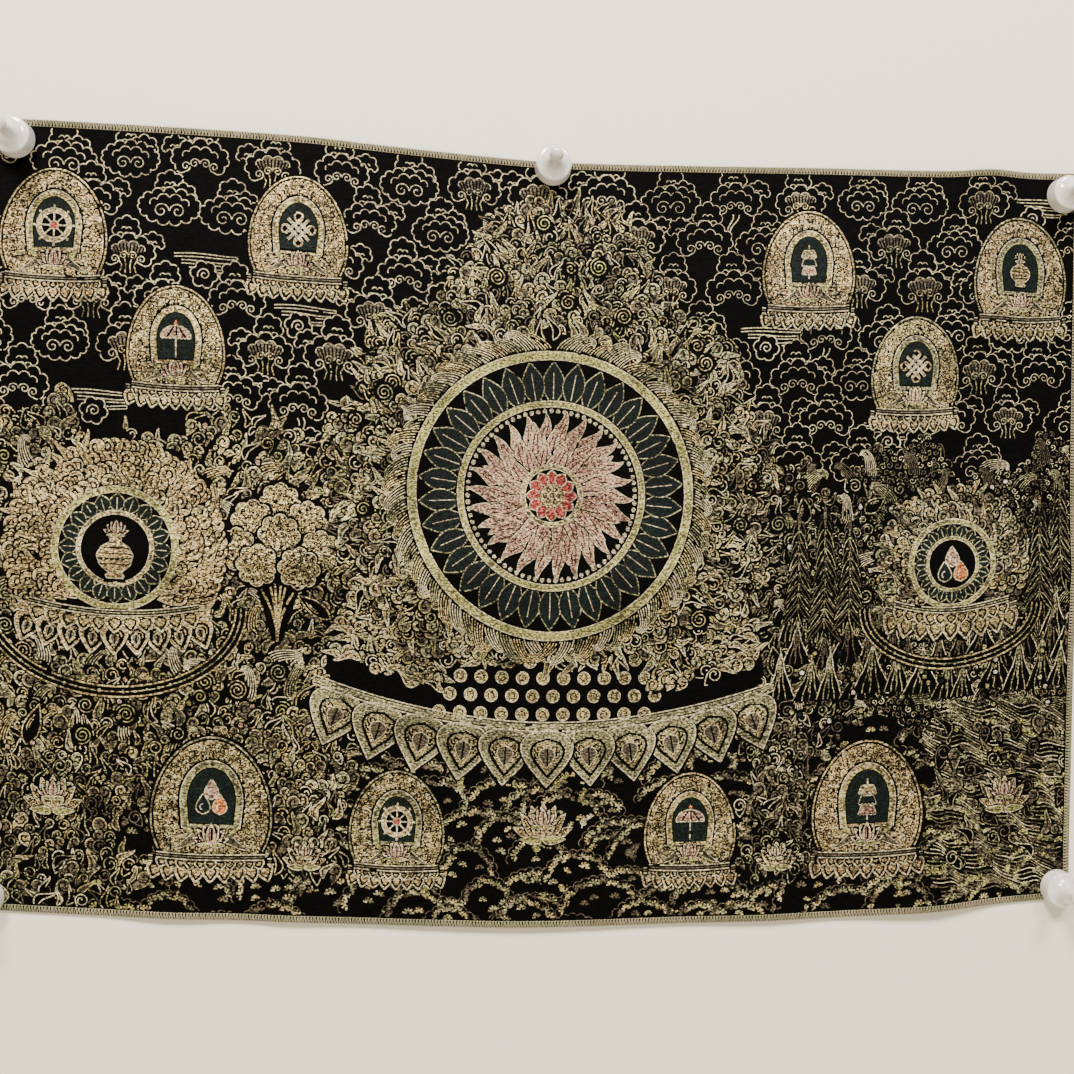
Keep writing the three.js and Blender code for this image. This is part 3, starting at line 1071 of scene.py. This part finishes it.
def cloud_field():
    """Clouds in staggered rows, with small heads and mist between them."""
    step, rise = 53.0, 36.0
    for row in range(8):
        for k in range(-1, 18):
            p = -438 + k * step + (row % 2) * step / 2 + 1j * (278 - row * rise)
            p += rng.uniform(-3, 3) + 1j * rng.uniform(-3, 3)
            too_low = p.imag < 66 + 24 * math.sin(p.real / 60)
            if too_low or abs(p - WHEEL) < 150 or not clear_of_medallions(p, 0.55):
                continue
            kind = rng.random()
            if kind < 0.62:
                tint = ("gold", "olive")[k % 2] if kind < 0.28 else None
                cloud(p, rng.uniform(19, 22.5), either_way(), tint, kind > 0.5)
            elif kind < 0.86:
                cloud_head(p + 15j, 9.5, 9, 5, "small")
                cloud_head(p + 10 + 7j, 9, 8, 5, "small")
                cloud_head(p - 2j, rng.uniform(20, 24), 11.5, 15, "oval")
            else:
                mist(p - 22, rng.uniform(40, 58))
                cloud_ball(p + rng.uniform(-10, 10) - 14j, 8.5)


def hills():
    for row, v in enumerate((-156, -177, -198, -219, -240, -261, -282, -302)):
        for k in range(-1, 21):
            u = -446 + 45 * k + (row % 2) * 22 + rng.uniform(-13, 13)
            tones = ("olive", "olive", "gold", "bronze") if abs(u) < 300 else ("green", "olive", "bronze")
            hill(u + 1j * (v - 14 + rng.uniform(-8, 8)), rng.uniform(22, 38), rng.uniform(18, 34), tones)


def outward(p):
    return np.degrees(np.angle(p - WHEEL))


def halo_reach(p):
    """How far the flames reach round the wheel in a point's direction: further straight up."""
    turn = outward(p)
    return 182 + 62 * np.exp(-(((turn - 90) / 20) ** 2)) + 7 * np.sin(np.radians(turn * 11))


def in_halo_of_wheel(p):
    over_the_seat = p.imag > -96 or abs(p.real) > 175 - 0.6 * (p.imag + 150)
    return over_the_seat and 128 < abs(p - WHEEL) < halo_reach(p)


def in_outer_halo(p):
    return 150 < abs(p - WHEEL) < halo_reach(p) - 12 and p.imag > -80


def left_field(p):
    top = 78 + 16 * math.sin(p.real / 23) + 10 * math.sin(p.real / 9)
    return p.real < -150 and -205 + 14 * math.sin(p.real / 17) < p.imag < top


def right_field(p):
    top = 66 + 16 * math.sin(p.real / 21) + 9 * math.sin(p.real / 8)
    return p.real > 150 and -150 + 14 * math.sin(p.real / 19) < p.imag < top


def left_low(p):
    return left_field(p) and p.imag < 60


def right_low(p):
    return right_field(p) and p.imag < 60


def right_edge(p):
    return right_field(p) and p.real > 255 + 30 * math.sin(p.imag / 14)


def water(p):
    return p.real > 318 + 9 * math.sin(p.imag / 8) and -292 < p.imag < -132


def bottom_left(p):
    return p.real < -318 + 12 * math.sin(p.imag / 9) and p.imag < -180


def beside_the_seat(p):
    return abs(abs(p.real) - 192) < 26 + 8 * math.sin(p.imag / 7) and p.imag < -140


def under_the_wheel(p):
    return 84 < abs(p.real) < 172 and -140 + abs(p.real) * 0.25 < p.imag < -62


def flaming_jewel(at, wide, sign, tones, rim_ink):
    """A sign inside a petal ring, with a broad halo of flames and a double lotus seat."""
    k = np.arange(90)
    clear(at + wide * (0.06j + polar(k * 4) * (1.42 + 0.07 * np.sin(k * 0.91) + 0.05 * np.sin(k * 1.47))))
    for row, radius in enumerate((1.36, 1.2, 1.04, 0.88)):
        count = int(wide * radius * 4.6 / 6.4)
        for k in range(count):
            turn = -42 + 264 * (k + 0.5 * (row % 2)) / (count - 1)
            way = turn + (90 - turn) * 0.38 + rng.uniform(-9, 9)
            tone = pick(tones)
            one = wisp if rng.random() < 0.4 else flame
            size, hand = rng.uniform(4.4, 5.8) * wide / 54, either_way()
            edge = pick(("cream", tone, tone, tone))
            one(at + wide * radius * polar(turn), way, size, hand, tone, edge, 0.75)
    clear(oval(at, wide * 0.82, wide * 0.84, 40))
    ring(at, wide * 0.82, wide * 0.74, "green")
    petal_wheel(at, wide * 0.48, wide * 0.73, 20, "teal", "olive", 0.95)
    clear(oval(at, wide * 0.5, wide * 0.5))
    ring(at, wide * 0.5, wide * 0.45, rim_ink, 0.8)
    sign(at - 2j, wide * 0.36)
    lotus_seat(at - 1j * wide * 1.02, wide * 1.2, wide * 0.42, 9, 8.0, tones[0], "bronze", "cream")
    lotus_seat(at - 1j * wide * 0.9, wide * 1.05, wide * 0.24, 11, 7.0, "gold", "olive", "cream")


STRAND_FIELDS = (
    # where, pitch, lowest and highest corner, turns, lengths, count, gap, bends, inks, line
    (left_low, 34, -440 - 200j, -200 + 60j, (40, 140), (26, 40), 5, 2.2, (25, 45),
     ("gold", "cream", "olive"), 0.85),
    (right_low, 28, 200 - 160j, 440 + 60j, (20, 160), (24, 38), 6, 1.9, (25, 50),
     ("olive", "cream", "bronze", "olive"), 0.65),
)
CURL_FIELDS = (
    # where, pitch, lowest and highest corner, radii, inks
    (left_low, 48, -436 - 190j, -170 + 60j, (5, 8), ("gold", "olive", "green")),
    (right_low, 40, 180 - 150j, 440 + 60j, (5, 7.5), ("olive", "bronze")),
)
OUTER_CURLS = (in_outer_halo, 46, -240 - 120j, 240 + 290j, (5, 7.5), ("gold", "olive", "green"))
POOLS = (
    # half lengths, half heights, edge, places
    ((11, 17), (5, 8), "gold", (
        -424 - 96j, -398 - 160j, -250 - 172j, -300 - 196j, -215 + 34j, -186 - 60j, -190 - 130j, -430 - 20j,
        -252 - 20j, -428 - 190j,
    )),
    ((9, 15), (4, 7), "olive", (
        208 + 26j, 240 - 44j, 268 + 30j, 424 + 8j, 398 - 60j, 186 - 96j, 300 - 104j, 262 - 100j,
    )),
)
# Each pine's foot and height.
PINES = ((204 - 70j, 88), (226 - 84j, 104), (247 - 74j, 86), (428 - 44j, 84), (410 - 66j, 92))
TREE = {"foot": -214 - 88j, "high": 104}
TREE_CROWN = (106j, -21 + 92j, 21 + 93j, -33 + 70j, 32 + 71j, 82j, -16 + 58j, 16 + 57j)
# The wheel's three rows of tongues: outer radius, inner radius, count, shift, half width.
WHEEL_TONGUES = ((66, 30, 26, 0.5, 6.4), (57, 22, 20, 0.0, 6.8), (45, 14, 16, 0.5, 7.0))
# Each large lotus: its place and size.
LOTUSES = ((-2 - 236j, 27), (-190 - 262j, 19), (190 - 262j, 19), (-382 - 226j, 25), (384 - 226j, 25))


def curl_field(inside, pitch, low, high, radii, inks_used):
    for p in scatter(inside, pitch, low, high, 0.6):
        big_curl(p, rng.uniform(*radii), either_way(), pick(inks_used))


def side_fields():
    """Scrolls fill both sides: golden on the left, finer and greyer on the right."""
    places = scatter(left_field, 9.5, -446 - 225j, -150 + 105j)
    flames(places, 4.0, lambda p: 90 - (p.real + 320) * 0.3, DEEP)
    places = scatter(right_field, 9.4, 150 - 170j, 446 + 95j)
    flames(places, 3.3, lambda p: 90 + (p.real - 320) * 0.3, COOL, 0.75, 60)
    lace(right_edge, 200 - 160j, 446 + 90j, ("olive", "cream", "bronze", "bronze", "bronze"), 6.7, 2.7, 0.7)
    for inside, pitch, low, high, turns, lengths, count, gap, bends, inks_used, thin in STRAND_FIELDS:
        for p in scatter(inside, pitch, low, high):
            turn, length = rng.uniform(*turns), rng.uniform(*lengths)
            strands(p, turn, length, count, gap, either_way() * rng.uniform(*bends), pick(inks_used), thin)
    for field in CURL_FIELDS:
        curl_field(*field)
    for lengths, heights, edge, places in POOLS:
        for p in places:
            pool(p, rng.uniform(*lengths), rng.uniform(*heights), rng.uniform(30, 150), edge)


def peaks_and_water():
    for row, v in enumerate((-84, -104, -126)):
        for k in range(13):
            u = 196 + 19.5 * k + (row % 2) * 9 + rng.uniform(-6, 6)
            if row or not 250 <= u <= 420:
                foot = u + 1j * (v + rng.uniform(-7, 7))
                wide, high = rng.uniform(22, 36), rng.uniform(28, 48)
                peak(foot, wide, high, ("cream", "olive")[k % 2], ("olive", "bronze")[row % 2])
    waves(water, 300 - 300j, 446 - 100j, 2.9, ("olive", "bronze", "cream", "olive"))
    foam = scatter(lambda p: p.real > 325 and -270 < p.imag < -140, 19, 325 - 270j, 440 - 140j, 0.5)
    flames(foam, 4.4, lambda p: 120, COOL, 0.8, 60)


def small_things():
    """What lies between the large motifs: scrolls, pearls, pines and the tree."""
    flames(scatter(bottom_left, 9.6, -446 - 292j, -300 - 180j), 3.9, lambda p: 80, (*WARM, *COOL))
    for side, tones in ((-1, WARM), (1, COOL)):
        places = scatter(lambda p: beside_the_seat(p) and p.real * side > 0, 8.2, -230 - 262j, 230 - 140j)
        flames(places, 3.9, lambda p: 90, tones)
    places = scatter(lambda p: right_field(p) and p.imag < 50, 27, 200 - 150j, 440 + 60j, 0.6)
    pearls(places, ("white", "cream", "green", "teal"))
    pearls(scatter(left_field, 44, -440 - 200j, -200 + 70j, 0.6), ("copper", "pink", "green"))
    for foot, high in PINES:
        pine(foot, high, "olive", ("bronze", "cream")[high % 2])
    tree(TREE["foot"], TREE["high"], TREE_CROWN)


def jewels_on_both_sides():
    for middle, wide, high in ((-338 - 66j, 96, 66), (334 - 56j, 74, 46)):
        sash(oval(middle, wide, high, 40, 178, 362), 8, "gold", "olive")
    flaming_jewel(-338 - 22j, 58, sign_vase, ("copper", "copper", "gold"), "gold")
    flaming_jewel(334 - 20j, 45, sign_jewels, ("gold", "olive", "bronze"), "green")
    for _ in range(30):
        p = rng.uniform(-250, 320) + 1j * rng.uniform(-290, -170)
        turn, size = 90 + rng.uniform(-40, 40), rng.uniform(9, 16)
        sprig(p, turn, size, pick(("olive", "bronze", "green", "cream")))


def crescent_seat():
    """The lotus crescent under the wheel, with its field of dots."""
    clear(oval(-100j, 176, 66, 50))
    for p in scatter(lambda p: abs(p.real) < 92 and -156 < p.imag < -84, 16.5, -95 - 150j, 95 - 80j, 0.0):
        layer()
        disc(p, 5.0, "gold", 16)
        draw(arc(p, 5.0, 0, 360, 16), "cream", 0.9, 2.0)
        cut(arc(p, 2.6, 0, 360, 12), 0.5)
    flames(scatter(under_the_wheel, 7.6, -172 - 150j, 172 - 60j), 4.2, lambda p: 90 - p.real * 0.5, RICH)
    lotus_seat(-150j, 178, 46, 11, 30, "olive", "bronze", "cream")


def wheel_halo():
    """Flames round the wheel, the outer ones first, and a ring of strands inside them."""
    places = scatter(in_halo_of_wheel, 7.8, -255 - 150j, 255 + 298j)
    places = places[np.argsort(-np.abs(places - WHEEL))]
    flames([p for p in places if p.real < 30], 4.3, outward, WARM)
    flames([p for p in places if p.real >= 30], 4.1, outward, WARM, 0.88, 50)
    curl_field(*OUTER_CURLS)
    count = 66
    for k in range(count):
        turn = 360 * k / count
        hand = 1 if math.cos(math.radians(turn)) < 0 else -1
        length, bend = rng.uniform(28, 42), hand * rng.uniform(14, 34)
        ink = ("cream", "olive", "gold")[k % 3]
        strands(WHEEL + 112 * polar(turn), turn + 14 * hand, length, 5, 2.3, bend, ink)


def wheel():
    clear(oval(WHEEL, 116, 116, 90))
    ring(WHEEL, 115, 108.5, "green")
    petal_wheel(WHEEL, 72, 107, 34, "teal", "olive", 0.95)
    clear(oval(WHEEL, 76, 76, 80))
    ring(WHEEL, 75.5, 71, "green")
    beads(arc(WHEEL, 67.5, 0, 360, 90), 5.4, 1.9, "cream")
    for outer, inner, count, shift, wide in WHEEL_TONGUES:
        for k in range(count):
            turn = 360 * (k + shift) / count + 90
            tongue(WHEEL + inner * polar(turn), turn, outer - inner + rng.uniform(-2, 4), wide, "pink")
    clear(oval(WHEEL, 25, 25, 40))
    ring(WHEEL, 25, 21.5, "gold")
    petal_wheel(WHEEL, 9, 20.5, 12, "red", "cream", 0.9, None)
    layer()
    disc(WHEEL, 9.5, "gold", 24)
    for p in (0, *(5.4 * polar(60 * k) for k in range(6))):
        cut(arc(WHEEL + p, 1.5, 0, 360, 9), 0.5)


def compose():
    """The whole design, from what lies furthest back to what lies in front."""
    cloud_field()
    hills()
    side_fields()
    peaks_and_water()
    small_things()
    jewels_on_both_sides()
    crescent_seat()
    wheel_halo()
    wheel()
    for u, v, wide, high, sign, *tones in MEDALLIONS:
        medallion(u + 1j * v, wide, high, SIGNS[sign], *tones)
    for at, size in LOTUSES:
        lotus_flower(at, size, "copper")
        lotus_flower(at + 0.4j * size, size * 0.5, "pink")


compose()

# The black satin sheet.
# Cells along and across: 4 mm high, so that one of their rows falls on the crease.
CLOTH_CELLS = (130, 152)


def yarn_in_front(u, v):
    """The share of yarn that lies in front, around each of many points."""
    cell = 4.0
    share = np.zeros((int(HIGH / cell) + 1, int(WIDE / cell) + 1))
    shaded = [(at * POINT / cell).astype(int) for at in np.nonzero(inks)]
    np.add.at(share, tuple(shaded), POINT**2)
    for _, wide, path, _ in lines:
        np.add.at(share, cells(path, cell, share.shape), wide * 1.4)
    return np.minimum(share[cells(u + 1j * v, cell, share.shape)] / cell**2, 1.0)


def cloth_sheet():
    """The sheet, hung as the CAD model has it, with its thickness behind its front face."""
    mesh = bpy.data.meshes.new("cloth_sheet")
    work = bmesh.new()
    bmesh.ops.create_grid(work, x_segments=CLOTH_CELLS[0], y_segments=CLOTH_CELLS[1], size=0.5)
    work.to_mesh(mesh)
    work.free()
    flat = mesh_points(mesh)
    u, v = flat[:, 0] * WIDE, flat[:, 1] * HIGH
    set_mesh_points(mesh, on_cloth(u, v, 0.0))
    mesh.shade_smooth()
    shown = mesh.attributes.new("yarn_in_front", "FLOAT", "POINT")
    shown.data.foreach_set("value", yarn_in_front(u, v).astype(np.float32))
    sheet = new_piece("brocade_sheet", mesh, satin_finish())
    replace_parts(sheet, "cloth")
    wall = sheet.modifiers.new("cloth_thickness", "SOLIDIFY")
    wall.thickness = THICK * MM
    wall.offset = -1.0
    return sheet


# Threads.
def bevelled_threads(name, strands, section, round_thread):
    """Sweeps a section along strands of (points, heights, widths), and gives the mesh, still in mm."""
    curve = bpy.data.curves.new(name, "CURVE")
    curve.dimensions = "3D"
    curve.twist_mode = "Z_UP"
    curve.resolution_u = 1
    if round_thread:
        curve.bevel_depth = section
        curve.bevel_resolution = 0
        curve.use_fill_caps = True
    else:
        curve.bevel_mode = "OBJECT"
        curve.bevel_object = section
    for points, heights, widths in strands:
        spline = curve.splines.new("POLY")
        spline.points.add(len(points) - 1)
        rows = np.ones((len(points), 4))
        rows[:, 0], rows[:, 1], rows[:, 2] = points.real, points.imag, heights
        spline.points.foreach_set("co", rows.ravel())
        spline.points.foreach_set("radius", np.broadcast_to(widths, len(points)))
    holder = bpy.data.objects.new(name, curve)
    bpy.context.scene.collection.objects.link(holder)
    bpy.context.view_layer.update()
    mesh = bpy.data.meshes.new_from_object(holder.evaluated_get(bpy.context.evaluated_depsgraph_get()))
    bpy.data.objects.remove(holder)
    bpy.data.curves.remove(curve)
    return mesh


def roof_section():
    """The section of a float: a low roof, a unit wide, with its eaves on the ground."""
    curve = bpy.data.curves.new("float_section", "CURVE")
    curve.dimensions = "2D"
    spline = curve.splines.new("POLY")
    spline.points.add(2)
    for point, (x, y) in zip(spline.points, ((-0.5, 0.0), (0.0, 0.22), (0.5, 0.0))):
        point.co = (x, y, 0.0, 1.0)
    holder = bpy.data.objects.new("float_section", curve)
    bpy.context.scene.collection.objects.link(holder)
    return holder


# The figured weft starts a little inside the overlocked band.
WOVEN_U, WOVEN_V = WIDE / 2 - BAND_WIDE - 1, HIGH / 2 - BAND_WIDE - 1


def line_strands():
    """The drawn lines, cut where a nearer layer covers them, and a little uneven as woven lines are."""
    found = {}
    missed, unsteady = 0.006, 0.02
    for ink, wide, path, own in lines:
        seen = (owner[cells(path, POINT, inks.shape)] <= own)
        seen &= (np.abs(path.real) < WOVEN_U) & (np.abs(path.imag) < WOVEN_V)
        seen &= rng.random(len(path)) > missed
        path = path + unsteady * (rng.standard_normal(len(path)) + 1j * rng.standard_normal(len(path)))
        for a, b in runs(seen):
            if b - a > 1:
                found.setdefault(ink, []).append((path[a:b], 0.06, wide * rng.uniform(0.85, 1.15, b - a)))
    return found


def float_strands():
    """The shaded parts, woven as rows of floats that are broken at their binding points."""
    found = {}
    shortest, gap = 1.0, 0.16
    for k in range(int((HIGH - 2 * BAND_WIDE) / ROW_PITCH)):
        v = -HIGH / 2 + BAND_WIDE + ROW_PITCH * (k + 0.5)
        row = inks[int((v + HIGH / 2) / POINT)]
        ends = np.concatenate([[0], np.flatnonzero(np.diff(row)) + 1, [COLS]])
        for a, b in zip(ends[:-1], ends[1:]):
            if row[a] == INK["ground"]:
                continue
            left, right = max(a * POINT - WIDE / 2, -WOVEN_U), min(b * POINT - WIDE / 2, WOVEN_U)
            while right - left > 0.6:
                stop = min(right, left + rng.uniform(2.0, 7.0))
                if right - stop < shortest:
                    stop = right
                points = np.array([left + gap, stop - gap]) + 1j * (v + rng.uniform(-0.07, 0.07))
                strand = (points, 0.02, ROW_PITCH * rng.uniform(0.72, 0.96))
                found.setdefault(INK_NAMES[row[a]], []).append(strand)
                left = stop
    return found


ROW_PITCH = 0.9
# An ink with more strands than this gets a piece for each half of the cloth.
MOST_IN_ONE_PIECE = 4000

WEFT = {
    # ink: finish name, deep, body, bright, slot
    "gold": ("antique_gold_film", "#2e2819", "#aa9763", "#f5e2ab", "metallic_weft"),
    "olive": ("olive_gold_film", "#272516", "#88845f", "#dad09b", "metallic_weft"),
    "copper": ("copper_gold_film", "#3c321d", "#b39b69", "#f8deaa", "metallic_weft"),
    "bronze": ("dim_bronze_film", "#211d13", "#594f3b", "#8a7d63", "metallic_weft"),
    "green": ("green_gold_film", "#424020", "#a19b5b", "#dad28b", "metallic_weft"),
    "cream": ("cream_film", "#665d4a", "#b2a883", "#e5d9ac", "pale_weft"),
    "white": ("white_silk", "#8d8879", "#d6d0bf", "#efeadd", "pale_weft"),
    "pink": ("rose_copper_film", "#4c3226", "#a98670", "#e2bfa2", "coloured_weft"),
    "teal": ("dark_teal_silk", "#020504", "#08130f", "#12261f", "coloured_weft"),
    "red": ("madder_red_silk", "#4a1614", "#a84a40", "#cf7a6a", "coloured_weft"),
    "orange": ("orange_silk", "#5a2a10", "#c2703a", "#e09a5c", "coloured_weft"),
}


def weave():
    """Lays every line and float on the cloth: a piece for each ink or, where it has many, for each half."""
    section = roof_section()
    drawn, floats = line_strands(), float_strands()
    pieces = []
    for ink, (finish, deep, body, bright, slot) in WEFT.items():
        material = weft_finish(finish, deep, body, bright, 0.5 if slot == "metallic_weft" else 0.0)
        every = drawn.get(ink, []) + floats.get(ink, [])
        parts = {f"weft_{ink}": every}
        if len(every) >= MOST_IN_ONE_PIECE:
            parts = {
                f"weft_{ink}_left": [strand for strand in every if strand[0][0].real < 0],
                f"weft_{ink}_right": [strand for strand in every if strand[0][0].real >= 0],
            }
        for name, part in parts.items():
            mesh = bevelled_threads(name, part, section, False)
            lay_on_cloth(mesh)
            pieces.append(new_piece(name, mesh, material))
    bpy.data.objects.remove(section)
    return pieces


# The overlocked edge, with a loop every 2.5 mm.
LOOP_PITCH = 2.5


def edge_walk(step):
    """Points round the cloth's edge, a step apart: the place, the way along and the way in."""
    corner = complex(WIDE / 2, HIGH / 2)
    corners = [-corner, np.conj(corner), corner, -np.conj(corner)]
    for k, start in enumerate(corners):
        side = corners[(k + 1) % 4] - start
        along = side / abs(side)
        for t in np.arange(step / 2, abs(side), step):
            yield start + along * t, along, along * 1j


def overlock():
    """Loops of thread that wrap the edge, and the line of needle stitches that holds them."""
    loops, needle = [], []
    top = BAND_RISE
    for place, along, inward in edge_walk(LOOP_PITCH):
        slip = rng.uniform(-0.12, 0.12)
        reach = BAND_WIDE + rng.uniform(-0.3, 0.3)
        # inward, along and up: one leg comes from the back and slants round the edge, and the other goes back
        route = np.array([
            (4.1, -0.4, -1.3), (-0.15, -1.5, -1.2), (-0.5, -1.45, -0.6), (0.4, -1.1, top - 0.25),
            (reach * 0.6, -0.5, top), (reach, -0.2, top - 0.2), (reach + 0.1, 0.35, top - 0.2),
            (reach * 0.6, 0.5, top), (0.4, 0.5, top - 0.25), (-0.5, 0.45, -0.6), (-0.15, 0.4, -1.2),
            (4.1, 1.5, -1.3),
        ])
        path = place + along * (route[:, 1] + slip) + inward * route[:, 0]
        loops.append((path, route[:, 2], rng.uniform(0.88, 1.12)))
        stitch = along * np.array([-1.15, 0.0, 1.15]) + inward * np.array([-0.15, 0.0, 0.2])
        needle.append((place + inward * (BAND_WIDE + 0.1) + stitch, np.array([0.05, 0.4, 0.05]), 1.0))
    thread = overlock_finish()
    pieces = []
    for name, strands, depth in (("overlock_loops", loops, 0.38), ("overlock_needle_line", needle, 0.22)):
        mesh = bevelled_threads(name, strands, depth, True)
        lay_on_cloth(mesh)
        mesh.shade_smooth()
        pieces.append(new_piece(name, mesh, thread))
    return pieces


# The magnet pins.
# The pin's outline: radius and distance from its foot, in mm.
PIN_OUTLINE = (
    (0.0, 0.0), (14.2, 0.0), (14.8, 0.15), (15.0, 0.6), (14.98, 1.1), (14.2, 8.9), (14.05, 9.6),
    (13.75, 10.15), (13.3, 10.5), (12.75, 10.65), (12.2, 10.72), (11.0, 11.2), (9.6, 12.1), (8.2, 13.3),
    (6.9, 14.9), (5.8, 16.8), (4.9, 19.0), (4.3, 21.2), (3.9, 23.3), (3.75, 24.5),
)
PIN_BALL = {"radius": 5.8, "middle": 29.2, "steps": 14}


def magnet_pin(name, place, material):
    """A pin turned round its axis: tapered skirt, dished cone and a ball to hold it by."""
    radius, middle, steps = PIN_BALL["radius"], PIN_BALL["middle"], PIN_BALL["steps"]
    neck = math.pi - math.asin(PIN_OUTLINE[-1][0] / radius)
    ball = [neck - neck * k / steps for k in range(1, steps)]
    outline = [*PIN_OUTLINE, *((radius * math.sin(turn), middle + radius * math.cos(turn)) for turn in ball)]
    outline.append((0.0, middle + radius))
    foot = THICK + BAND_RISE + SEAT_GAP
    centre = Vector((place[0] - ORIGIN[0], 0.0, place[1] - ORIGIN[1])) * MM
    work = bmesh.new()
    rim = [work.verts.new(centre + Vector((out, -(foot + up), 0.0)) * MM) for out, up in outline]
    edges = [work.edges.new(pair) for pair in zip(rim[:-1], rim[1:])]
    bmesh.ops.spin(
        work, geom=rim + edges, cent=centre, axis=(0, 1, 0), dvec=(0, 0, 0), angle=2 * math.pi, steps=56,
        use_merge=True, use_duplicate=False,
    )
    bmesh.ops.remove_doubles(work, verts=work.verts, dist=0.00001)
    bmesh.ops.recalc_face_normals(work, faces=work.faces)
    mesh = bpy.data.meshes.new(name)
    work.to_mesh(mesh)
    work.free()
    mesh.shade_smooth()
    return new_piece(name, mesh, material)


# The stage.
STAGE = (
    # name, colour, half sizes in m, turn about X in degrees, place in m
    ("stage_wall", "#f1ecd8", (2.6, 1.4), 90.0, (0.0, 0.0008, 0.6)),
    ("stage_floor", "#c8c2b3", (2.2, 2.2), 0.0, (0.0, -1.2, -0.8)),
)


def stage():
    """A pale wall behind the cloth, which a camera behind it sees through, and a pale floor."""
    for name, colour, halves, turn, place in STAGE:
        # matt emulsion, even and pale
        paint, tree, shader = new_material(name + "_paint", base=srgb(colour), roughness=0.6, specular=0.3)
        if name == "stage_wall":
            side = add(tree, "ShaderNodeNewGeometry").outputs["Backfacing"]
            see_through = add(tree, "ShaderNodeBsdfTransparent")
            both = add(tree, "ShaderNodeMixShader", links={0: side, 1: shader, 2: see_through})
            feed(tree, tree.nodes["Material Output"], {"Surface": both})
        mesh = bpy.data.meshes.new(name)
        work = bmesh.new()
        bmesh.ops.create_grid(work, x_segments=2, y_segments=2, size=1.0)
        bmesh.ops.scale(work, vec=(*halves, 1.0), verts=work.verts)
        upright = Matrix.Rotation(math.radians(turn), 3, "X")
        bmesh.ops.rotate(work, cent=(0, 0, 0), matrix=upright, verts=work.verts)
        bmesh.ops.translate(work, vec=place, verts=work.verts)
        work.to_mesh(mesh)
        work.free()
        mesh.materials.append(paint)
        ground = bpy.data.objects.new(name, mesh)
        # light comes in from behind as well, so that the back of the cloth isn't left in the dark
        ground.visible_shadow = ground.visible_diffuse = name != "stage_wall"
        bpy.context.scene.collection.objects.link(ground)


LIGHTS = (
    # name, place in m, watts, side in m, colour
    ("key_left", (-1.1, -2.4, 2.9), 310.0, 1.0, "#fff6e8"),
    ("key_right", (1.3, -2.4, 2.7), 170.0, 1.0, "#fdfbff"),
    ("glint_left", (-0.55, -1.1, 0.75), 2.5, 0.07, "#fffdf8"),
    ("glint_right", (0.45, -1.1, 0.8), 2.5, 0.07, "#fffdf8"),
    ("back_light", (0.9, 2.2, 0.8), 40.0, 1.2, "#fffaf2"),
)
LIT_PLACE = Vector((0.0, 0.0, -0.3))
ROOM_LIGHT = 0.24


def lights():
    """Soft lamps that all look at the cloth, and the even light of a room."""
    for name, place, power, side, colour in LIGHTS:
        data = bpy.data.lights.new(name, "AREA")
        data.energy, data.size, data.color = power, side, srgb(colour)[:3]
        lamp = bpy.data.objects.new(name, data)
        lamp.location = place
        lamp.rotation_euler = (LIT_PLACE - lamp.location).to_track_quat("-Z", "Y").to_euler()
        bpy.context.scene.collection.objects.link(lamp)
    world = bpy.data.worlds.new("soft_room")
    world.use_nodes = True
    background = world.node_tree.nodes["Background"]
    background.inputs["Color"].default_value = srgb("#f3f3f1")
    background.inputs["Strength"].default_value = ROOM_LIGHT
    bpy.context.scene.world = world


sheet = cloth_sheet()
on_it = weave() + overlock()
plastic = pin_finish()
for pin_name, pin_place in PINS.items():
    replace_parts(magnet_pin(pin_name + "_moulded", pin_place, plastic), pin_name)
stage()
lights()
